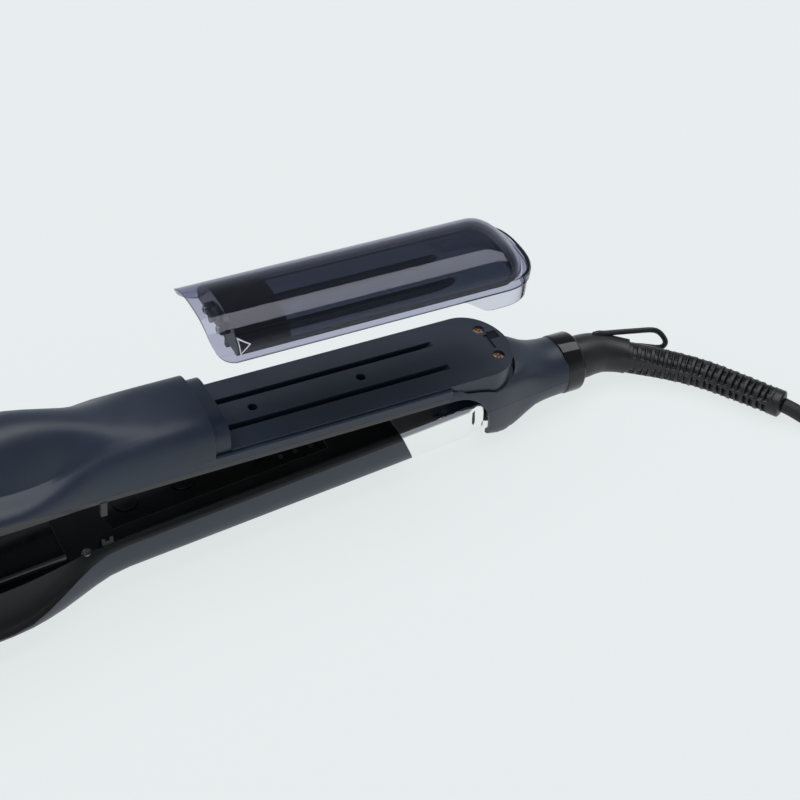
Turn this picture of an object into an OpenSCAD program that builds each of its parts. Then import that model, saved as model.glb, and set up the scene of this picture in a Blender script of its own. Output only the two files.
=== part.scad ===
// Steam hair straightener with a lift-off water tank, two hinged arms and a swivel cord.
// Sizes are in millimetres. The arms are drawn closed and level, with the hinge axis as origin;
// place_lower() and place_upper() then stand them on the floor, open by open_angle.

/* [Arms] */
// Length from the hinge axis to the front tip
tip_len = 296; // [290:1:306]
// Angle between the arms when they are let go
open_angle = 6.26; // [5:0.01:8]
// Width of the upper arm's handle
upper_w = 40.4; // [40:0.1:41.5]
// Width of the lower arm's handle
lower_w = 38.4; // [37.5:0.1:39]
// Width of both heads
head_w = 60.8; // [58:0.2:64]
// Wall of the navy shells
shell_wall = 2; // [1.8:0.1:2.2]
// Wall of the inner frames
frame_wall = 1.6; // [1.4:0.1:1.8]
// Height of the lower arm's inner face above the hinge axis
lower_face = 10.5; // [10:0.1:10.8]
// Height of the upper arm's inner face above the hinge axis
upper_face = 17.1; // [16.9:0.1:17.3]
// Depth of the lower handle's back below the hinge axis
lower_back = 11; // [10.5:0.1:11.4]
// Height of the housing's top in front of the tank
housing_top = 38.5; // [38:0.1:39]
// Height of the upper head's top
head_top = 51; // [49:0.2:52]

/* [Tank and dock] */
// Height of the dock's flat top
dock_top = 24.66; // [24.4:0.02:24.9]
// Width of the dock's flat top
dock_w = 37.8; // [37.4:0.1:38]
// Thickness of the dock insert
dock_wall = 1.6; // [1.4:0.1:1.8]
// Distance from the hinge axis to the neck's rear wall
neck_back = 122.8; // [121:0.2:124]
// Length of the neck that the tank's skirt sleeves over
neck_len = 6.9; // [6:0.1:8]
// Width of the neck
neck_w = 37; // [36.4:0.1:37.4]
// Height of the neck's top
neck_top = 35.4; // [34.8:0.1:35.8]
// Distance of the rail grooves from the middle
groove_y = 7.5; // [7:0.1:8]
// Width of each rail groove
groove_w = 3; // [2.6:0.1:3.4]
// Depth of the rail grooves
groove_deep = 3.7; // [3.4:0.1:3.8]
// Distance from the hinge axis to the rear end of the grooves
groove_end = 21.9; // [20:0.1:24]
// Height of the tank's top when it is docked
tank_top = 37.8; // [37.4:0.1:38]
// Wall of the clear tank cover
cover_wall = 1.1; // [1:0.05:1.2]
// Wall of the water reservoir
reservoir_wall = 1.3; // [1.1:0.1:1.6]
// Distance that the tank is lifted off its dock
tank_lift = 45; // [40:0.1:50]
// Distance that the lifted tank is shifted to the front
tank_shift = 2.8; // [0:0.1:4]

/* [Plates] */
// Length of the heating plates
plate_len = 94.6; // [92:0.2:95]
// Width of the lower heating plate
plate_w = 36; // [35:0.2:36.4]
// Distance from the hinge axis to the plates' rear end
plate_back = 188.4; // [188:0.2:189]
// Height of the lower plate's face above its frame
plate_proud = 3.1; // [2.9:0.1:3.2]
// Travel of each floating plate
plate_float = 1; // [0.6:0.1:1]
// Width of the steam bar beside the upper plate
steam_bar_w = 4.2; // [3.8:0.1:4.4]

/* [Controls] */
// Radius of the two buttons
button_r = 5.1; // [4.6:0.1:5.4]
// Distance from the hinge axis to the power button
power_x = 158.2; // [156:0.2:160]
// Distance from the hinge axis to the mode button
mode_x = 134.4; // [132:0.2:137]
// Travel of the buttons
button_travel = 0.5; // [0.3:0.05:0.5]
// Distance from the hinge axis to the middle of the lock slider
slider_x = 102.6; // [101:0.2:104]
// Travel of the lock slider
slider_travel = 4; // [3:0.2:4.4]

/* [Hinge and tail] */
// Radius of the hinge pin
pin_r = 2; // [1.8:0.1:2.2]
// Radius of the lower arm's knuckle
knuckle_r = 8.5; // [8:0.1:8.8]
// Radius of the collar at the end of the tail
collar_r = 12.7; // [12.4:0.1:13]
// Distance from the hinge axis to the front of the collar
collar_front = 38; // [37.5:0.1:38.5]
// Length of the collar
collar_len = 7.2; // [7:0.1:8]

/* [Cord] */
// Diameter of the cord
cord_d = 6.5; // [6:0.1:7]
// Diameter of the swivel boot where it leaves the collar
boot_d = 18.6; // [17:0.2:19]
// Largest diameter of the cord guard
guard_d = 13.6; // [13:0.2:14]
// Number of ribs on the cord guard
guard_ribs = 13; // [10:1:15]
// Straight length of the folded cord's runs
hank_run = 98; // [98:1:110]
// Number of layers in the folded cord
hank_layers = 3; // [3:1:4]

/* [Hidden] */
$fn = 64;

navy = [0.2, 0.23, 0.28];
panel_black = [0.06, 0.06, 0.07];
frame_black = [0.1, 0.1, 0.11];
frame_grey = [0.3, 0.3, 0.31];
steel = [0.75, 0.75, 0.76];
smoke = [0.4, 0.42, 0.55];

fit = 0.1;
clearance = 0.3;
guide_gap = 0.15;
collar_rear = collar_front + collar_len;
hinge_z = collar_r * cos(open_angle) + collar_rear * sin(open_angle);
rear_len = collar_rear * cos(open_angle) + collar_r * sin(open_angle);
hinge_x = (tip_len - rear_len) / 2;
belly = hinge_z;

upper_half = upper_w / 2;
lower_half = lower_w / 2;
head_half = head_w / 2;
nose_start = tip_len - 34;
housing_end = neck_back + neck_len;
handle_end = 27;
cap_front = 47.5;
cap_lean = 8.1;
tail_back = 8.5;

ledge_top = dock_top - 0.96;
upper_seam = 20;
upper_seam_head = 31;
lower_seam = 7.5;
lower_seam_head = -3.7;
face_edge_head = 21.5;

moat_floor = 15;
dock_half = dock_w / 2;
dock_end_x = -7.1;
dock_end_r = 16.2;
moat_gap = 2.4;
moat_side = 0.8;
dock_under = dock_top - dock_wall;
shelf_top = dock_under - 0.05;
groove_floor = dock_top - groove_deep;
screw_x = 0.8;
screw_y = 8.4;

plate_top = lower_face + plate_proud;
plate_meet = 0.4;
plate_front = plate_back + plate_len;
clip_front = plate_front - 8;
clip_back = plate_back + 15;
window_half = plate_w / 2 + 0.4;
window_front = plate_front + 0.6;
window_back = plate_back - 0.6;
carrier_z = 0.6;
carrier_half = 18;
carrier_wall = 1.4;
carrier_rear = 181;
post_places = [plate_front + 3.2, 183.5];
moat_start = -11.3;

pin_len = 2 * 16.2;
knuckle_half = 12.1;
boss_inner = 12.4;

// Outlines
arch_steps = 26;
flank_steps = 7;
tail_steps = 24;
head_stations = [132, 150, 165, 173, 180, 187, 194, 201, 208, 216, 224, 240];
nose_stations = [for (t = [0, 0.3, 0.5, 0.65, 0.78, 0.87, 0.93, 0.97, 1]) mix(nose_start, tip_len, t)];

// Lower arm
board_under = 2;
board_top = 3.6;
light_places = [94.8, 88.5, 81.5];
light_y = -6.8;
screw_row = 180.5;
screw_side = 17;
carrier_top = carrier_z + carrier_wall;
switch_top = 6.6;
plate_foot = lower_face - frame_wall - fit - 1.3;
heater_top = plate_top - 2.42;
spring_places = [plate_back + 12, plate_front - 12];
cap_half = 17.5;
cap_wall = 1.4;
cap_rear = 8;

// Upper arm
port_y = 6;
port_z = 29;
port_r = 1.2;
seal_r = 2.6;
port_gap = 0.65;
catch_x = 4.6;
catch_y = 3.4;
catch_half = 2.3;
catch_travel = 1.5;
pocket_floor = moat_floor + 1.4;
catch_under = pocket_floor + catch_travel + 2.4;
upper_carrier_z = 26;
upper_plate_face = plate_top + plate_meet;
upper_plate_foot = upper_face + frame_wall + fit + 1.3;
upper_plate_b = window_half - steam_bar_w - 1;
upper_heater_under = upper_plate_face + 2.42;
bar_front = clip_front;

// Tail
tail_r = 17.6;
tail_end_r = 12.6;
tail_stations = [-28, -24, -20, -16, -12, -8, -4, 0, 4, 8, 12, 17, 22, 27, 32, collar_front - 0.4];
ear_rx = 19.6;
ear_rz = 24.1;
ear_x = -25.1;
ear_tip = -7;
tail_screw_x = 20;
tail_screw_y = 6.5;
tail_screw_z = -8.4;
stem_r = 6.2;

// Tank
cover_half = upper_half;
cover_front = housing_end - 0.3;
cover_tip = moat_floor + 0.6;
cover_end = dock_end_x + dock_end_r + moat_gap - clearance;
dome_start = 18;
dome_foot = dock_top + 2.2;
front_rise = 12;
cover_steps = 24;
cover_stations = concat([for (t = [0, 0.3, 1.2, 3, 6, 9, 12]) t - cover_front],
    [-100, -60, -40, -33, -handle_end, -24, -21, -18, -15, -12, -9, -6, -3, 0, 3],
    [for (t = [0.66, 0.78, 0.86, 0.91, 0.95, 0.98, 0.995]) mix(dock_end_x, cover_end, t)]);
vessel_front = 119.3;
vessel_half = cover_half - cover_wall - 0.8;
vessel_top = tank_top - cover_wall - 0.7;
vessel_floor = dock_top + 0.4;
vessel_end = 2.5;
vessel_dome = 44;
plug_y = 0;
plug_z = 30.3;
plug_r = 3.4;

// Cord. Places are given from the hinge axis along the floor's axes.
boot_path = [[45.3, 0, -4.95], [50, 0, -5.4], [55, 0, -6], [60.5, -1, -6.8], [66, -3.8, -7.6],
    [70, -6.5, -8.2]];
guard_path = [[70, -6.5, -8.2], [82, -15.6, -9.8], [94.7, -28.4, -10.8], [105.7, -45.1, -11],
    [114.7, -60.4, -11]];
loop_path = [[58.2, 2.9, 2.6], [60.8, 2.5, 2.5], [63.4, 1.9, 1.8], [70.6, 0.6, 0.5],
    [78.2, -0.6, -1.1], [85.4, -1.8, -2.7], [88.6, -3, -4.2], [90.6, -4.6, -7], [91.2, -5.6, -10],
    [89, -4.6, -12.4], [82, 0, -12.2], [72, 5.2, -11.2], [62, 9, -10], [55.9, 9.5, -9.3]];
loop_wire_r = 1.2;
loop_pin_r = 1;
cord_path = [[114.7, -60.4, -11], [116.8, -64, -11.5], [119, -68, -12.4], [121.6, -72.4, -13.4],
    [125, -78, -14.2], [129.4, -84.4, -14.3], [134.6, -90.2, -14.3], [140.6, -95.2, -14.3],
    [147.4, -98.8, -14.3], [154.6, -100.6, -14.3], [160, -101, -14.3]];
hank_x = 170;
hank_y = -75;
hank_r = 26;
tie_x = 190;
plug_tail = 216;
plug_relief = 25;
plug_body_len = 36;
plug_half_w = 17.6;
plug_thick = 13.6;
plug_axis = hank_layers * cord_d + plug_thick / 2 + 0.02;

// Helpers

// Goes smoothly from 0 at a to 1 at b.
function ease(a, b, x) = let (t = max(0, min(1, (x - a) / (b - a)))) t * t * (3 - 2 * t);
function mix(p, q, t) = p + (q - p) * t;
function oval(t, n) = pow(max(0, 1 - pow(t, n)), 1 / n);

// Points of an arc in a plane, from angle a to angle b.
function arc(cx, cz, rx, rz, a, b, steps) =
    [for (i = [0:steps]) let (q = mix(a, b, i / steps)) [cx + rx * cos(q), cz + rz * sin(q)]];

// A shell or a solid through rings of equal point count, each ring in a plane across X.
// A shell ring holds its outer points and then its inner points in return order.
module skin(rings, is_shell) {
    n = len(rings[0]);
    m = len(rings);
    last = (m - 1) * n;
    sides = [for (i = [0:m - 2]) for (j = [0:n - 1]) let (k = (j + 1) % n)
        each [[i * n + j, (i + 1) * n + k, i * n + k], [i * n + j, (i + 1) * n + j, (i + 1) * n + k]]];
    strip = [for (j = [0:n / 2 - 2]) [j, j + 1, n - 2 - j, n - 1 - j]];
    front = is_shell ? [for (q = strip) each [[q[0], q[1], q[2]], [q[0], q[2], q[3]]]]
        : [for (j = [1:n - 2]) [0, j, j + 1]];
    back = [for (t = front) [last + t[2], last + t[1], last + t[0]]];
    points = [for (r = rings) each r];
    faces = concat(sides, front, back);
    parts = [for (f = faces) points[f[0]] * cross(points[f[1]], points[f[2]])];
    inside_out = parts * [for (f = faces) 1] > 0;
    out = inside_out ? [for (f = faces) [f[2], f[1], f[0]]] : faces;
    polyhedron(points = points, faces = out, convexity = 8);
}

function shell_ring(x, outer, inner) = concat([for (p = outer) [x, p[0], p[1]]],
    [for (i = [len(inner) - 1:-1:0]) [x, inner[i][0], inner[i][1]]]);

// A tube swept along points with one radius for each point.
function unit(v) = v / norm(v);
module sweep(path, radii, sides) {
    m = len(path);
    dirs = [for (i = [0:m - 1]) unit(path[min(i + 1, m - 1)] - path[max(i - 1, 0)])];
    rings = [for (i = [0:m - 1]) let (
            side = unit(cross(dirs[i], [0, 0, 1])),
            up = cross(side, dirs[i]))
        [for (j = [0:sides - 1]) let (q = 360 * j / sides)
            path[i] + radii[i] * (cos(q) * side + sin(q) * up)]];
    skin(rings, false);
}

// Points on a smooth curve through the given points, with a few steps to each piece.
function curve_at(p, i, t) = let (
        a = p[max(i - 1, 0)], b = p[i], c = p[i + 1], d = p[min(i + 2, len(p) - 1)])
    0.5 * (2 * b + (c - a) * t + (2 * a - 5 * b + 4 * c - d) * t * t
        + (3 * b - a - 3 * c + d) * t * t * t);
function smooth_path(p, steps) = concat(
    [for (i = [0:len(p) - 2]) for (k = [0:steps - 1]) curve_at(p, i, k / steps)], [p[len(p) - 1]]);

module box(x0, x1, y0, y1, z0, z1) {
    translate([x0, y0, z0]) cube([x1 - x0, y1 - y0, z1 - z0]);
}

// An outline drawn in Y and Z, extruded along X from x0 to x1.
module along_x(x0, x1) {
    translate([x0, 0, 0]) rotate([90, 0, 90]) linear_extrude(x1 - x0) children();
}

// An outline drawn in X and Z, extruded along Y from y0 to y1.
module along_y(y0, y1) {
    translate([0, y1, 0]) rotate([90, 0, 0]) linear_extrude(y1 - y0) children();
}

module post(x, y, z0, z1, r) {
    translate([x, y, z0]) cylinder(r = r, h = z1 - z0);
}

module mirrored_y() {
    children();
    mirror([0, 1, 0]) children();
}

module place_lower() {
    translate([hinge_x, 0, hinge_z]) children();
}

module place_upper() {
    translate([hinge_x, 0, hinge_z]) rotate([0, open_angle, 0]) children();
}

module place_tank() {
    place_upper() translate([-tank_shift, 0, tank_lift]) children();
}

// Outlines of the arms, as functions of the distance d from the hinge axis

function nose(d) = d <= nose_start ? 1 : oval(min(0.985, (d - nose_start) / (tip_len - nose_start)), 3);
function upper_side(d) = mix(upper_half, head_half, ease(171, 215, d)) * nose(d);
function upper_seam_z(d) = mix(upper_seam, upper_seam_head, ease(176, 215, d));
function upper_crown(d) = upper_seam_z(d)
    + (mix(housing_top, head_top, ease(150, 205, d)) - upper_seam_z(d)) * nose(d);
function lower_side(d) = mix(lower_half, head_half, ease(166, 215, d)) * nose(d);
function lower_seam_z(d) = mix(lower_seam, lower_seam_head, ease(170, 215, d));
function lower_keel(d) = lower_seam_z(d)
    - (lower_seam_z(d) + mix(lower_back, belly + 0.6, ease(165, 205, d))) * nose(d);

// Housing section: a boxy arch by the tank, a bell with a hollow on each side at the head.
function boxy(s) = pow(1 - pow(s, 4.5), 1 / 2.6);
function bell(s) = 0.19 * pow(1 - pow(s, 6), 0.6)
    + (s < 0.68 ? 0.81 * pow(1 - pow(s / 0.68, 2.5), 1.2) : 0);
function housing_shape(s, d) = mix(boxy(s), bell(s), ease(150, 210, d));
function arch(half, z0, z1, d) = [for (i = [0:arch_steps]) let (c = cos(180 * i / arch_steps))
    [half * c, z0 + (z1 - z0) * housing_shape(abs(c), d)]];

// Shell of the housing and head, open below.
function upper_ring(d) = let (
        inside = min(d + 2.5, tip_len),
        half = upper_side(d),
        half_in = max(0.25 * half, min(half, upper_side(inside)) - shell_wall),
        z0 = upper_seam_z(d),
        z1 = upper_crown(d),
        z1_in = max(mix(z0, z1, 0.2), min(z1, upper_crown(inside)) - shell_wall))
    shell_ring(-d, arch(half, z0, z1, d), arch(half_in, z0, z1_in, d));

// Belly section of the lower arm, with a flat that rests on the floor.
function belly_line(half, z0, z1, d) = [for (i = [0:arch_steps]) let (c = cos(180 * i / arch_steps),
        n = mix(4, 1.6, ease(165, 215, d)))
    [half * c, max(-belly, z0 - (z0 - z1) * pow(1 - pow(abs(c), n), 1 / n))]];
function lower_ring(d) = let (
        inside = min(d + 2.5, tip_len),
        half = lower_side(d),
        half_in = max(0.25 * half, min(half, lower_side(inside)) - shell_wall),
        z0 = lower_seam_z(d),
        z1 = lower_keel(d),
        z1_in = min(mix(z0, z1, 0.2), max(z1, lower_keel(inside), -belly) + shell_wall))
    shell_ring(-d, belly_line(half, z0, z1, d), belly_line(half_in, z0, z1_in, d));

// Inner frames: a flank from the seam to the inner face and a flat face across.
function flank(edge, side, z_side, z_face, hollow) = [for (i = [0:flank_steps]) let (
        q = 90 * i / flank_steps)
    [mix(edge + (side - edge) * cos(q), edge + (side - edge) * (1 - sin(q)), hollow),
     z_side + (z_face - z_side) * mix(sin(q), 1 - cos(q), hollow)]];
function both_sides(p) = concat(p, [for (i = [len(p) - 1:-1:0]) [-p[i][0], p[i][1]]]);
function frame_ring(d, side, edge, z_side, z_face, hollow) = let (
        way = z_face > z_side ? -1 : 1,
        side_in = max(0.3 * side, side - shell_wall),
        edge_in = max(0.3 * edge, edge - shell_wall),
        face_in = abs(z_face - z_side) > frame_wall + 0.4 ? z_face + way * frame_wall
            : mix(z_side, z_face, 0.3))
    shell_ring(-d, both_sides(flank(edge, side, z_side, z_face, hollow)),
        both_sides(flank(edge_in, side_in, z_side, face_in, hollow)));
function upper_edge(d) = mix(upper_half - 0.3, face_edge_head, ease(171, 215, d)) * nose(d);
function lower_edge(d) = mix(lower_half - 4, face_edge_head, ease(150, 215, d)) * nose(d);

// Lower arm

// Space behind the slanted front edge of the bright cap.
module behind_slant(gap) {
    along_y(-40, 40) polygon([[gap - cap_front, lower_face + 1], [0, lower_face + 1],
        [0, -lower_back - 1], [gap - cap_front + cap_lean, -lower_back - 1]]);
}

module lower_shell() {
    stations = concat([cap_front - cap_lean - 0.5, 100], head_stations, nose_stations);
    color(navy) place_lower() difference() {
        skin([for (d = stations) lower_ring(d)], true);
        behind_slant(0);
    }
}

module panel_outline(gap) {
    box(-168 - gap, -76 + gap, -11 - gap, 11 + gap, lower_face - 0.85, lower_face + 1);
}

module lower_frame() {
    stations = concat([cap_front - cap_lean - 0.5, 100], head_stations, nose_stations);
    under = lower_face - frame_wall;
    color(frame_black) place_lower() difference() {
        union() {
            skin([for (d = stations)
                frame_ring(d, lower_side(d), lower_edge(d), lower_seam_z(d) + fit,
                    lower_face, ease(170, 200, d))], true);
            for (x = [-164, -84], y = [-9, 9]) post(x, y, board_top + 0.02, under + 0.2, 1.8);
            for (d = post_places, y = [-11, 11]) post(-d, y, carrier_top + 0.02, under + 0.2, 2.2);
        }
        panel_outline(0.1);
        behind_slant(0);
        box(-window_front, -window_back, -window_half, window_half, lower_face - 4, lower_face + 2);
        for (d = [power_x, mode_x]) post(-d, 0, 0, 20, button_r + guide_gap);
        box(-slider_x - 2.6, -slider_x + 2.6, -4.6, 4.6, 0, 20);
        for (d = light_places) post(-d, light_y, 0, 20, 1.1);
        for (y = [-screw_side, screw_side]) post(-screw_row, y, 9.4, 20, 2.1);
        for (y = [-screw_side, screw_side]) post(-screw_row, y, 6, 20, 1.1);
    }
}

module control_panel() {
    color(panel_black) place_lower() difference() {
        box(-168, -76, -11, 11, lower_face - 0.8, lower_face);
        for (d = [power_x, mode_x]) post(-d, 0, 0, 20, button_r + guide_gap);
        box(-slider_x - 2.6, -slider_x + 2.6, -4.6, 4.6, 0, 20);
        for (d = light_places) post(-d, light_y, 0, 20, 1.0);
    }
}

// A button: a cap through the panel, a flange that keeps it in and a stem over its switch.
module button(d) {
    flange_top = lower_face - frame_wall - 0.05;
    place_lower() {
        post(-d, 0, flange_top - 0.2, lower_face + 0.6, button_r);
        post(-d, 0, flange_top - 0.9, flange_top, button_r + 1.1);
        post(-d, 0, switch_top + button_travel + 0.05, flange_top, 1.6);
    }
}

module power_button() {
    color(panel_black) button(power_x);
}

module mode_button() {
    color(panel_black) button(mode_x);
}

// The slider rests at one side of its slot and slides to the other.
module lock_slider() {
    knob_half = 4.6 - slider_travel / 2 - 0.2;
    start = -slider_travel / 2;
    under = lower_face - frame_wall - 0.1;
    color(panel_black) place_lower() union() {
        box(-slider_x - 2.4, -slider_x + 2.4, start - knob_half, start + knob_half, under - 0.6,
            lower_face + 0.8);
        box(-slider_x - 4.2, -slider_x + 4.2, start - 3.8, start + 3.8, under - 1, under);
        for (x = [-1.6, 0, 1.6])
            box(-slider_x + x - 0.4, -slider_x + x + 0.4, start - knob_half, start + knob_half,
                lower_face + 0.7, lower_face + 1.2);
    }
}

module indicator_lights() {
    color("white") place_lower()
        for (d = light_places) post(-d, light_y, board_top + 0.02, lower_face + 0.1, 0.9);
}

module control_board() {
    color([0.1, 0.35, 0.2]) place_lower() {
        box(-170, -78, -12.5, 12.5, board_under, board_top);
    }
}

module key_switches() {
    color("silver") place_lower() for (d = [power_x, mode_x])
        box(-d - 3, -d + 3, -3, 3, board_top + 0.02, switch_top);
}

// A heating plate: a rounded face with side walls, and clips below where the frame is wide enough.
module plate(half_a, half_b, top, wall_foot) {
    along_x(-plate_front, -plate_back) plate_profile(half_a, half_b, top, wall_foot);
    along_x(-clip_front, -clip_back) {
        translate([-half_a - 0.8, wall_foot]) square([1, 1.3]);
        translate([half_b - 0.2, wall_foot]) square([1, 1.3]);
    }
}
module plate_profile(half_a, half_b, top, wall_foot) {
    difference() {
        polygon(concat(
            arc(half_b - 1.6, top - 1.6, 1.6, 1.6, 0, 90, 8),
            arc(-half_a + 1.6, top - 1.6, 1.6, 1.6, 90, 180, 8),
            [[-half_a, wall_foot], [half_b, wall_foot]]));
        polygon([[-half_a + 1.6, wall_foot - 1], [half_b - 1.6, wall_foot - 1],
            [half_b - 1.6, top - 2.4], [-half_a + 1.6, top - 2.4]]);
    }
}

module lower_plate() {
    color(steel) place_lower() union() plate(plate_w / 2, plate_w / 2, plate_top, plate_foot);
}

module lower_heater() {
    color("peru") place_lower()
        box(-plate_front + 3, -plate_back - 3, -12, 12, heater_top - 1.5, heater_top);
}

module coil_spring(x, y, z0, z1, r, wire) {
    turns = max(4, ceil((z1 - z0) / (wire * 1.7)));
    translate([x, y, z0]) rotate_extrude() union() {
        for (i = [0:turns - 1])
            translate([r, wire / 2 + i * (z1 - z0 - wire) / (turns - 1)]) circle(d = wire, $fn = 16);
        translate([r - wire * 0.2, wire / 2]) square([wire * 0.4, z1 - z0 - wire]);
    }
}

module lower_plate_springs() {
    color("silver") place_lower() for (d = spring_places, y = [-8, 8])
        coil_spring(-d, y, carrier_top + plate_float + 0.1, heater_top - 1.52, 2.6, 0.8);
}

// Sheet that carries a heater's springs, with a narrow tongue at the tip.
module carrier_plate(z) {
    box(-plate_front - 1, -carrier_rear, -carrier_half, carrier_half, z, z + carrier_wall);
    box(-plate_front - 6, -plate_front, -14, 14, z, z + carrier_wall);
}

module lower_carrier() {
    color(frame_black) place_lower() difference() {
        carrier_plate(carrier_z);
        for (x = [-265, -240, -215]) box(x - 6, x + 6, -5, 5, carrier_z - 1, carrier_top + 1);
    }
}

// Bright cap on the rear of the lower arm. It carries on the arm's outline and narrows between the ears.
function cap_side(x) = mix(lower_half, cap_half, ease(-16, -11, x));
function cap_outline(half, shrink) = let (
        top = both_sides(flank(half - 4 - shrink, half - shrink, lower_seam + fit, lower_face - shrink, 0)))
    concat(belly_line(half - shrink, lower_seam, shrink - lower_back, cap_front),
        [for (i = [len(top) - 1:-1:0]) top[i]]);
module cap_solid(shrink, longer) {
    places = concat([-cap_front - 4 - longer], [for (x = [-16:-11]) x], [longer - cap_rear]);
    skin([for (x = places) [for (p = cap_outline(cap_side(x), shrink)) [x, p[0], p[1]]]], false);
}
module chrome_cap() {
    color("white") place_lower() intersection() {
        difference() {
            cap_solid(0, 0);
            cap_solid(cap_wall, 1);
        }
        behind_slant(fit);
    }
}

// Core of the lower arm's rear end: it fills the cap and carries the hinge pin.
module hinge_knuckle() {
    core_top = lower_face - cap_wall - 0.1;
    color(frame_black) place_lower() difference() {
        union() {
            along_x(-cap_front + cap_lean + 0.4, -cap_rear) polygon(cap_outline(cap_half, cap_wall + 0.1));
            box(-cap_front - 10, -cap_front + 10, -12, 12, -4, 5.4);
            along_y(-knuckle_half, knuckle_half) union() {
                circle(r = knuckle_r);
                polygon([[-cap_rear - 1, core_top - 0.6], [-3, knuckle_r - 0.7], [-3, -6],
                    [-cap_rear - 1, -6]]);
            }
        }
        along_y(-30, 30) circle(r = pin_r + 0.05);
        along_y(-4.4, 4.4) circle(r = 6.4);
    }
}

module screw(x, y, z_head, r_head, h_head, r_shank, length, slot_deep) {
    translate([x, y, 0]) difference() {
        union() {
            translate([0, 0, z_head - h_head]) cylinder(r = r_head, h = h_head);
            translate([0, 0, z_head - h_head - length]) cylinder(r = r_shank, h = length + 0.1);
        }
        for (turn = [20, 110]) translate([0, 0, z_head - slot_deep]) rotate([0, 0, turn])
            translate([-r_head * 0.7, -0.35, 0]) cube([r_head * 1.4, 0.7, slot_deep + 1]);
    }
}

module frame_screws() {
    color("silver") place_lower() for (y = [-screw_side, screw_side])
        screw(-screw_row, y, 10.3, 1.95, 0.85, 0.95, 5, 0.5);
}

// Two notched posts at the head's rear that line the arms up.
module guide_posts() {
    color(frame_black) place_lower() mirrored_y() difference() {
        box(-174.2, -169.6, 15.4, 17.8, lower_face + 0.02, lower_face + 4);
        box(-172.8, -171, 14, 19, lower_face + 2.4, lower_face + 5);
    }
}

// Hinge

module hinge_pin() {
    color(steel) place_lower() along_y(-pin_len / 2, pin_len / 2) circle(r = pin_r);
}

module hinge_spring() {
    color("silver") place_lower() union() {
        translate([0, -4.1, 0]) rotate([-90, 0, 0]) rotate_extrude() union() {
            for (i = [0:5]) translate([3.1, 0.7 + i * 1.36]) circle(r = 0.7, $fn = 16);
            translate([2.9, 0.7]) square([0.4, 6.8]);
        }
        translate([0, -3.4, 0]) box(-5.6, 0, -0.5, 0.5, 2.6, 3.6);
        translate([0, 3.4, 0]) box(-5.6, 0, -0.5, 0.5, -3.6, -2.6);
    }
}

// Upper arm

module rail_profile() {
    flat = dock_half + 0.1;
    polygon([[upper_half, upper_seam], [upper_half, ledge_top - 0.5], [upper_half - 0.5, ledge_top],
        [flat, ledge_top], [flat, shelf_top], [dock_half - 2.4, shelf_top],
        [dock_half - 2.4, shelf_top - 1.2], [upper_half - shell_wall, shelf_top - 1.2],
        [upper_half - shell_wall, upper_seam]]);
}

// Tail form: boxy by the dock, round towards the collar. Distances x run back from the hinge axis.
function tail_side(x) = mix(upper_half, mix(tail_r, tail_end_r, ease(-2, 38, x)), ease(-10, 12, x));
function tail_crown(x) = mix(ledge_top + 0.2, mix(tail_r, tail_end_r, ease(12, 32, x)), ease(-32, 4, x));
function tail_depth(x) = mix(tail_back, tail_side(x) - 0.6 * (1 - ease(24, 36, x)), ease(-12, 14, x));
function tail_power(x) = mix(9, 2, ease(-14, 24, x));
function tail_seam(x) = mix(5.6, 1.5, ease(-9, 30, x));
function tail_arc(half, z0, z1, n) = [for (i = [0:tail_steps]) let (c = cos(180 * i / tail_steps))
    [half * c, z0 + (z1 - z0) * pow(max(0, 1 - pow(abs(c), n)), 1 / n)]];
function tail_ring(x, way) = let (
        half = tail_side(x),
        z0 = tail_seam(x) + (way < 0 ? -fit : 0),
        z1 = way > 0 ? tail_crown(x) : -tail_depth(x))
    shell_ring(x, tail_arc(half, z0, z1, tail_power(x)),
        tail_arc(half - 1.8, z0, z1 - way * 1.8, tail_power(x)));

// Space in front of the ears' curved front edges.
module ear_cut() {
    along_y(-40, 40) polygon(concat(
        arc(ear_x, ear_tip, ear_rx, ear_rz, 0, 90, 20),
        [[-60, ear_tip + ear_rz], [-60, -40], [ear_x + ear_rx, -40]]));
}

// Outline of the dock's flat top with its round rear end, grown by side_gap and by end_gap.
module dock_outline(side_gap, end_gap, front) {
    polygon(concat([[-front, -dock_half - side_gap]],
        arc(dock_end_x, 0, dock_end_r + end_gap, dock_half + side_gap, -90, 90, 32),
        [[-front, dock_half + side_gap]]));
}

// Everything above the ledge, which drops to the moat's floor at the dock's rear.
module above_ledge() {
    along_y(-40, 40) polygon(concat([[-handle_end - 3, 60], [-handle_end - 3, ledge_top]],
        [for (i = [0:10]) let (x = mix(-handle_end, moat_start, i / 10))
            [x, mix(ledge_top, moat_floor, ease(-handle_end - 2, moat_start, x))]],
        [[20, moat_floor], [20, 60]]));
}

module upper_shell() {
    moat_front = 20;
    color(navy) place_upper() union() {
        skin([for (d = concat([housing_end], head_stations, nose_stations)) upper_ring(d)], true);
        mirrored_y() along_x(-housing_end - 6, -handle_end) rail_profile();
        difference() {
            union() {
                skin([for (x = tail_stations) tail_ring(x, 1)], true);
                for (y = [-tail_screw_y, tail_screw_y]) difference() {
                    post(tail_screw_x, y, tail_seam(tail_screw_x) + 0.3, 9.5, 2.9);
                    post(tail_screw_x, y, 0, 7.5, 1.2);
                }
                intersection() {
                    translate([0, 0, moat_floor - 1.4]) linear_extrude(1.4)
                        dock_outline(moat_side - 0.4, moat_gap - 0.4, moat_front);
                    box(-moat_front, 30, -40, 40, 0, 40);
                }
            }
            ear_cut();
            intersection() {
                above_ledge();
                translate([0, 0, moat_floor]) linear_extrude(40) dock_outline(moat_side, moat_gap, 60);
            }
            translate([0, 0, moat_floor]) linear_extrude(40) dock_outline(fit, fit, 60);
            linear_extrude(40) dock_outline(-dock_wall - 1, -dock_wall - 1, 60);
            hinge_space();
        }
    }
}

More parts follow.
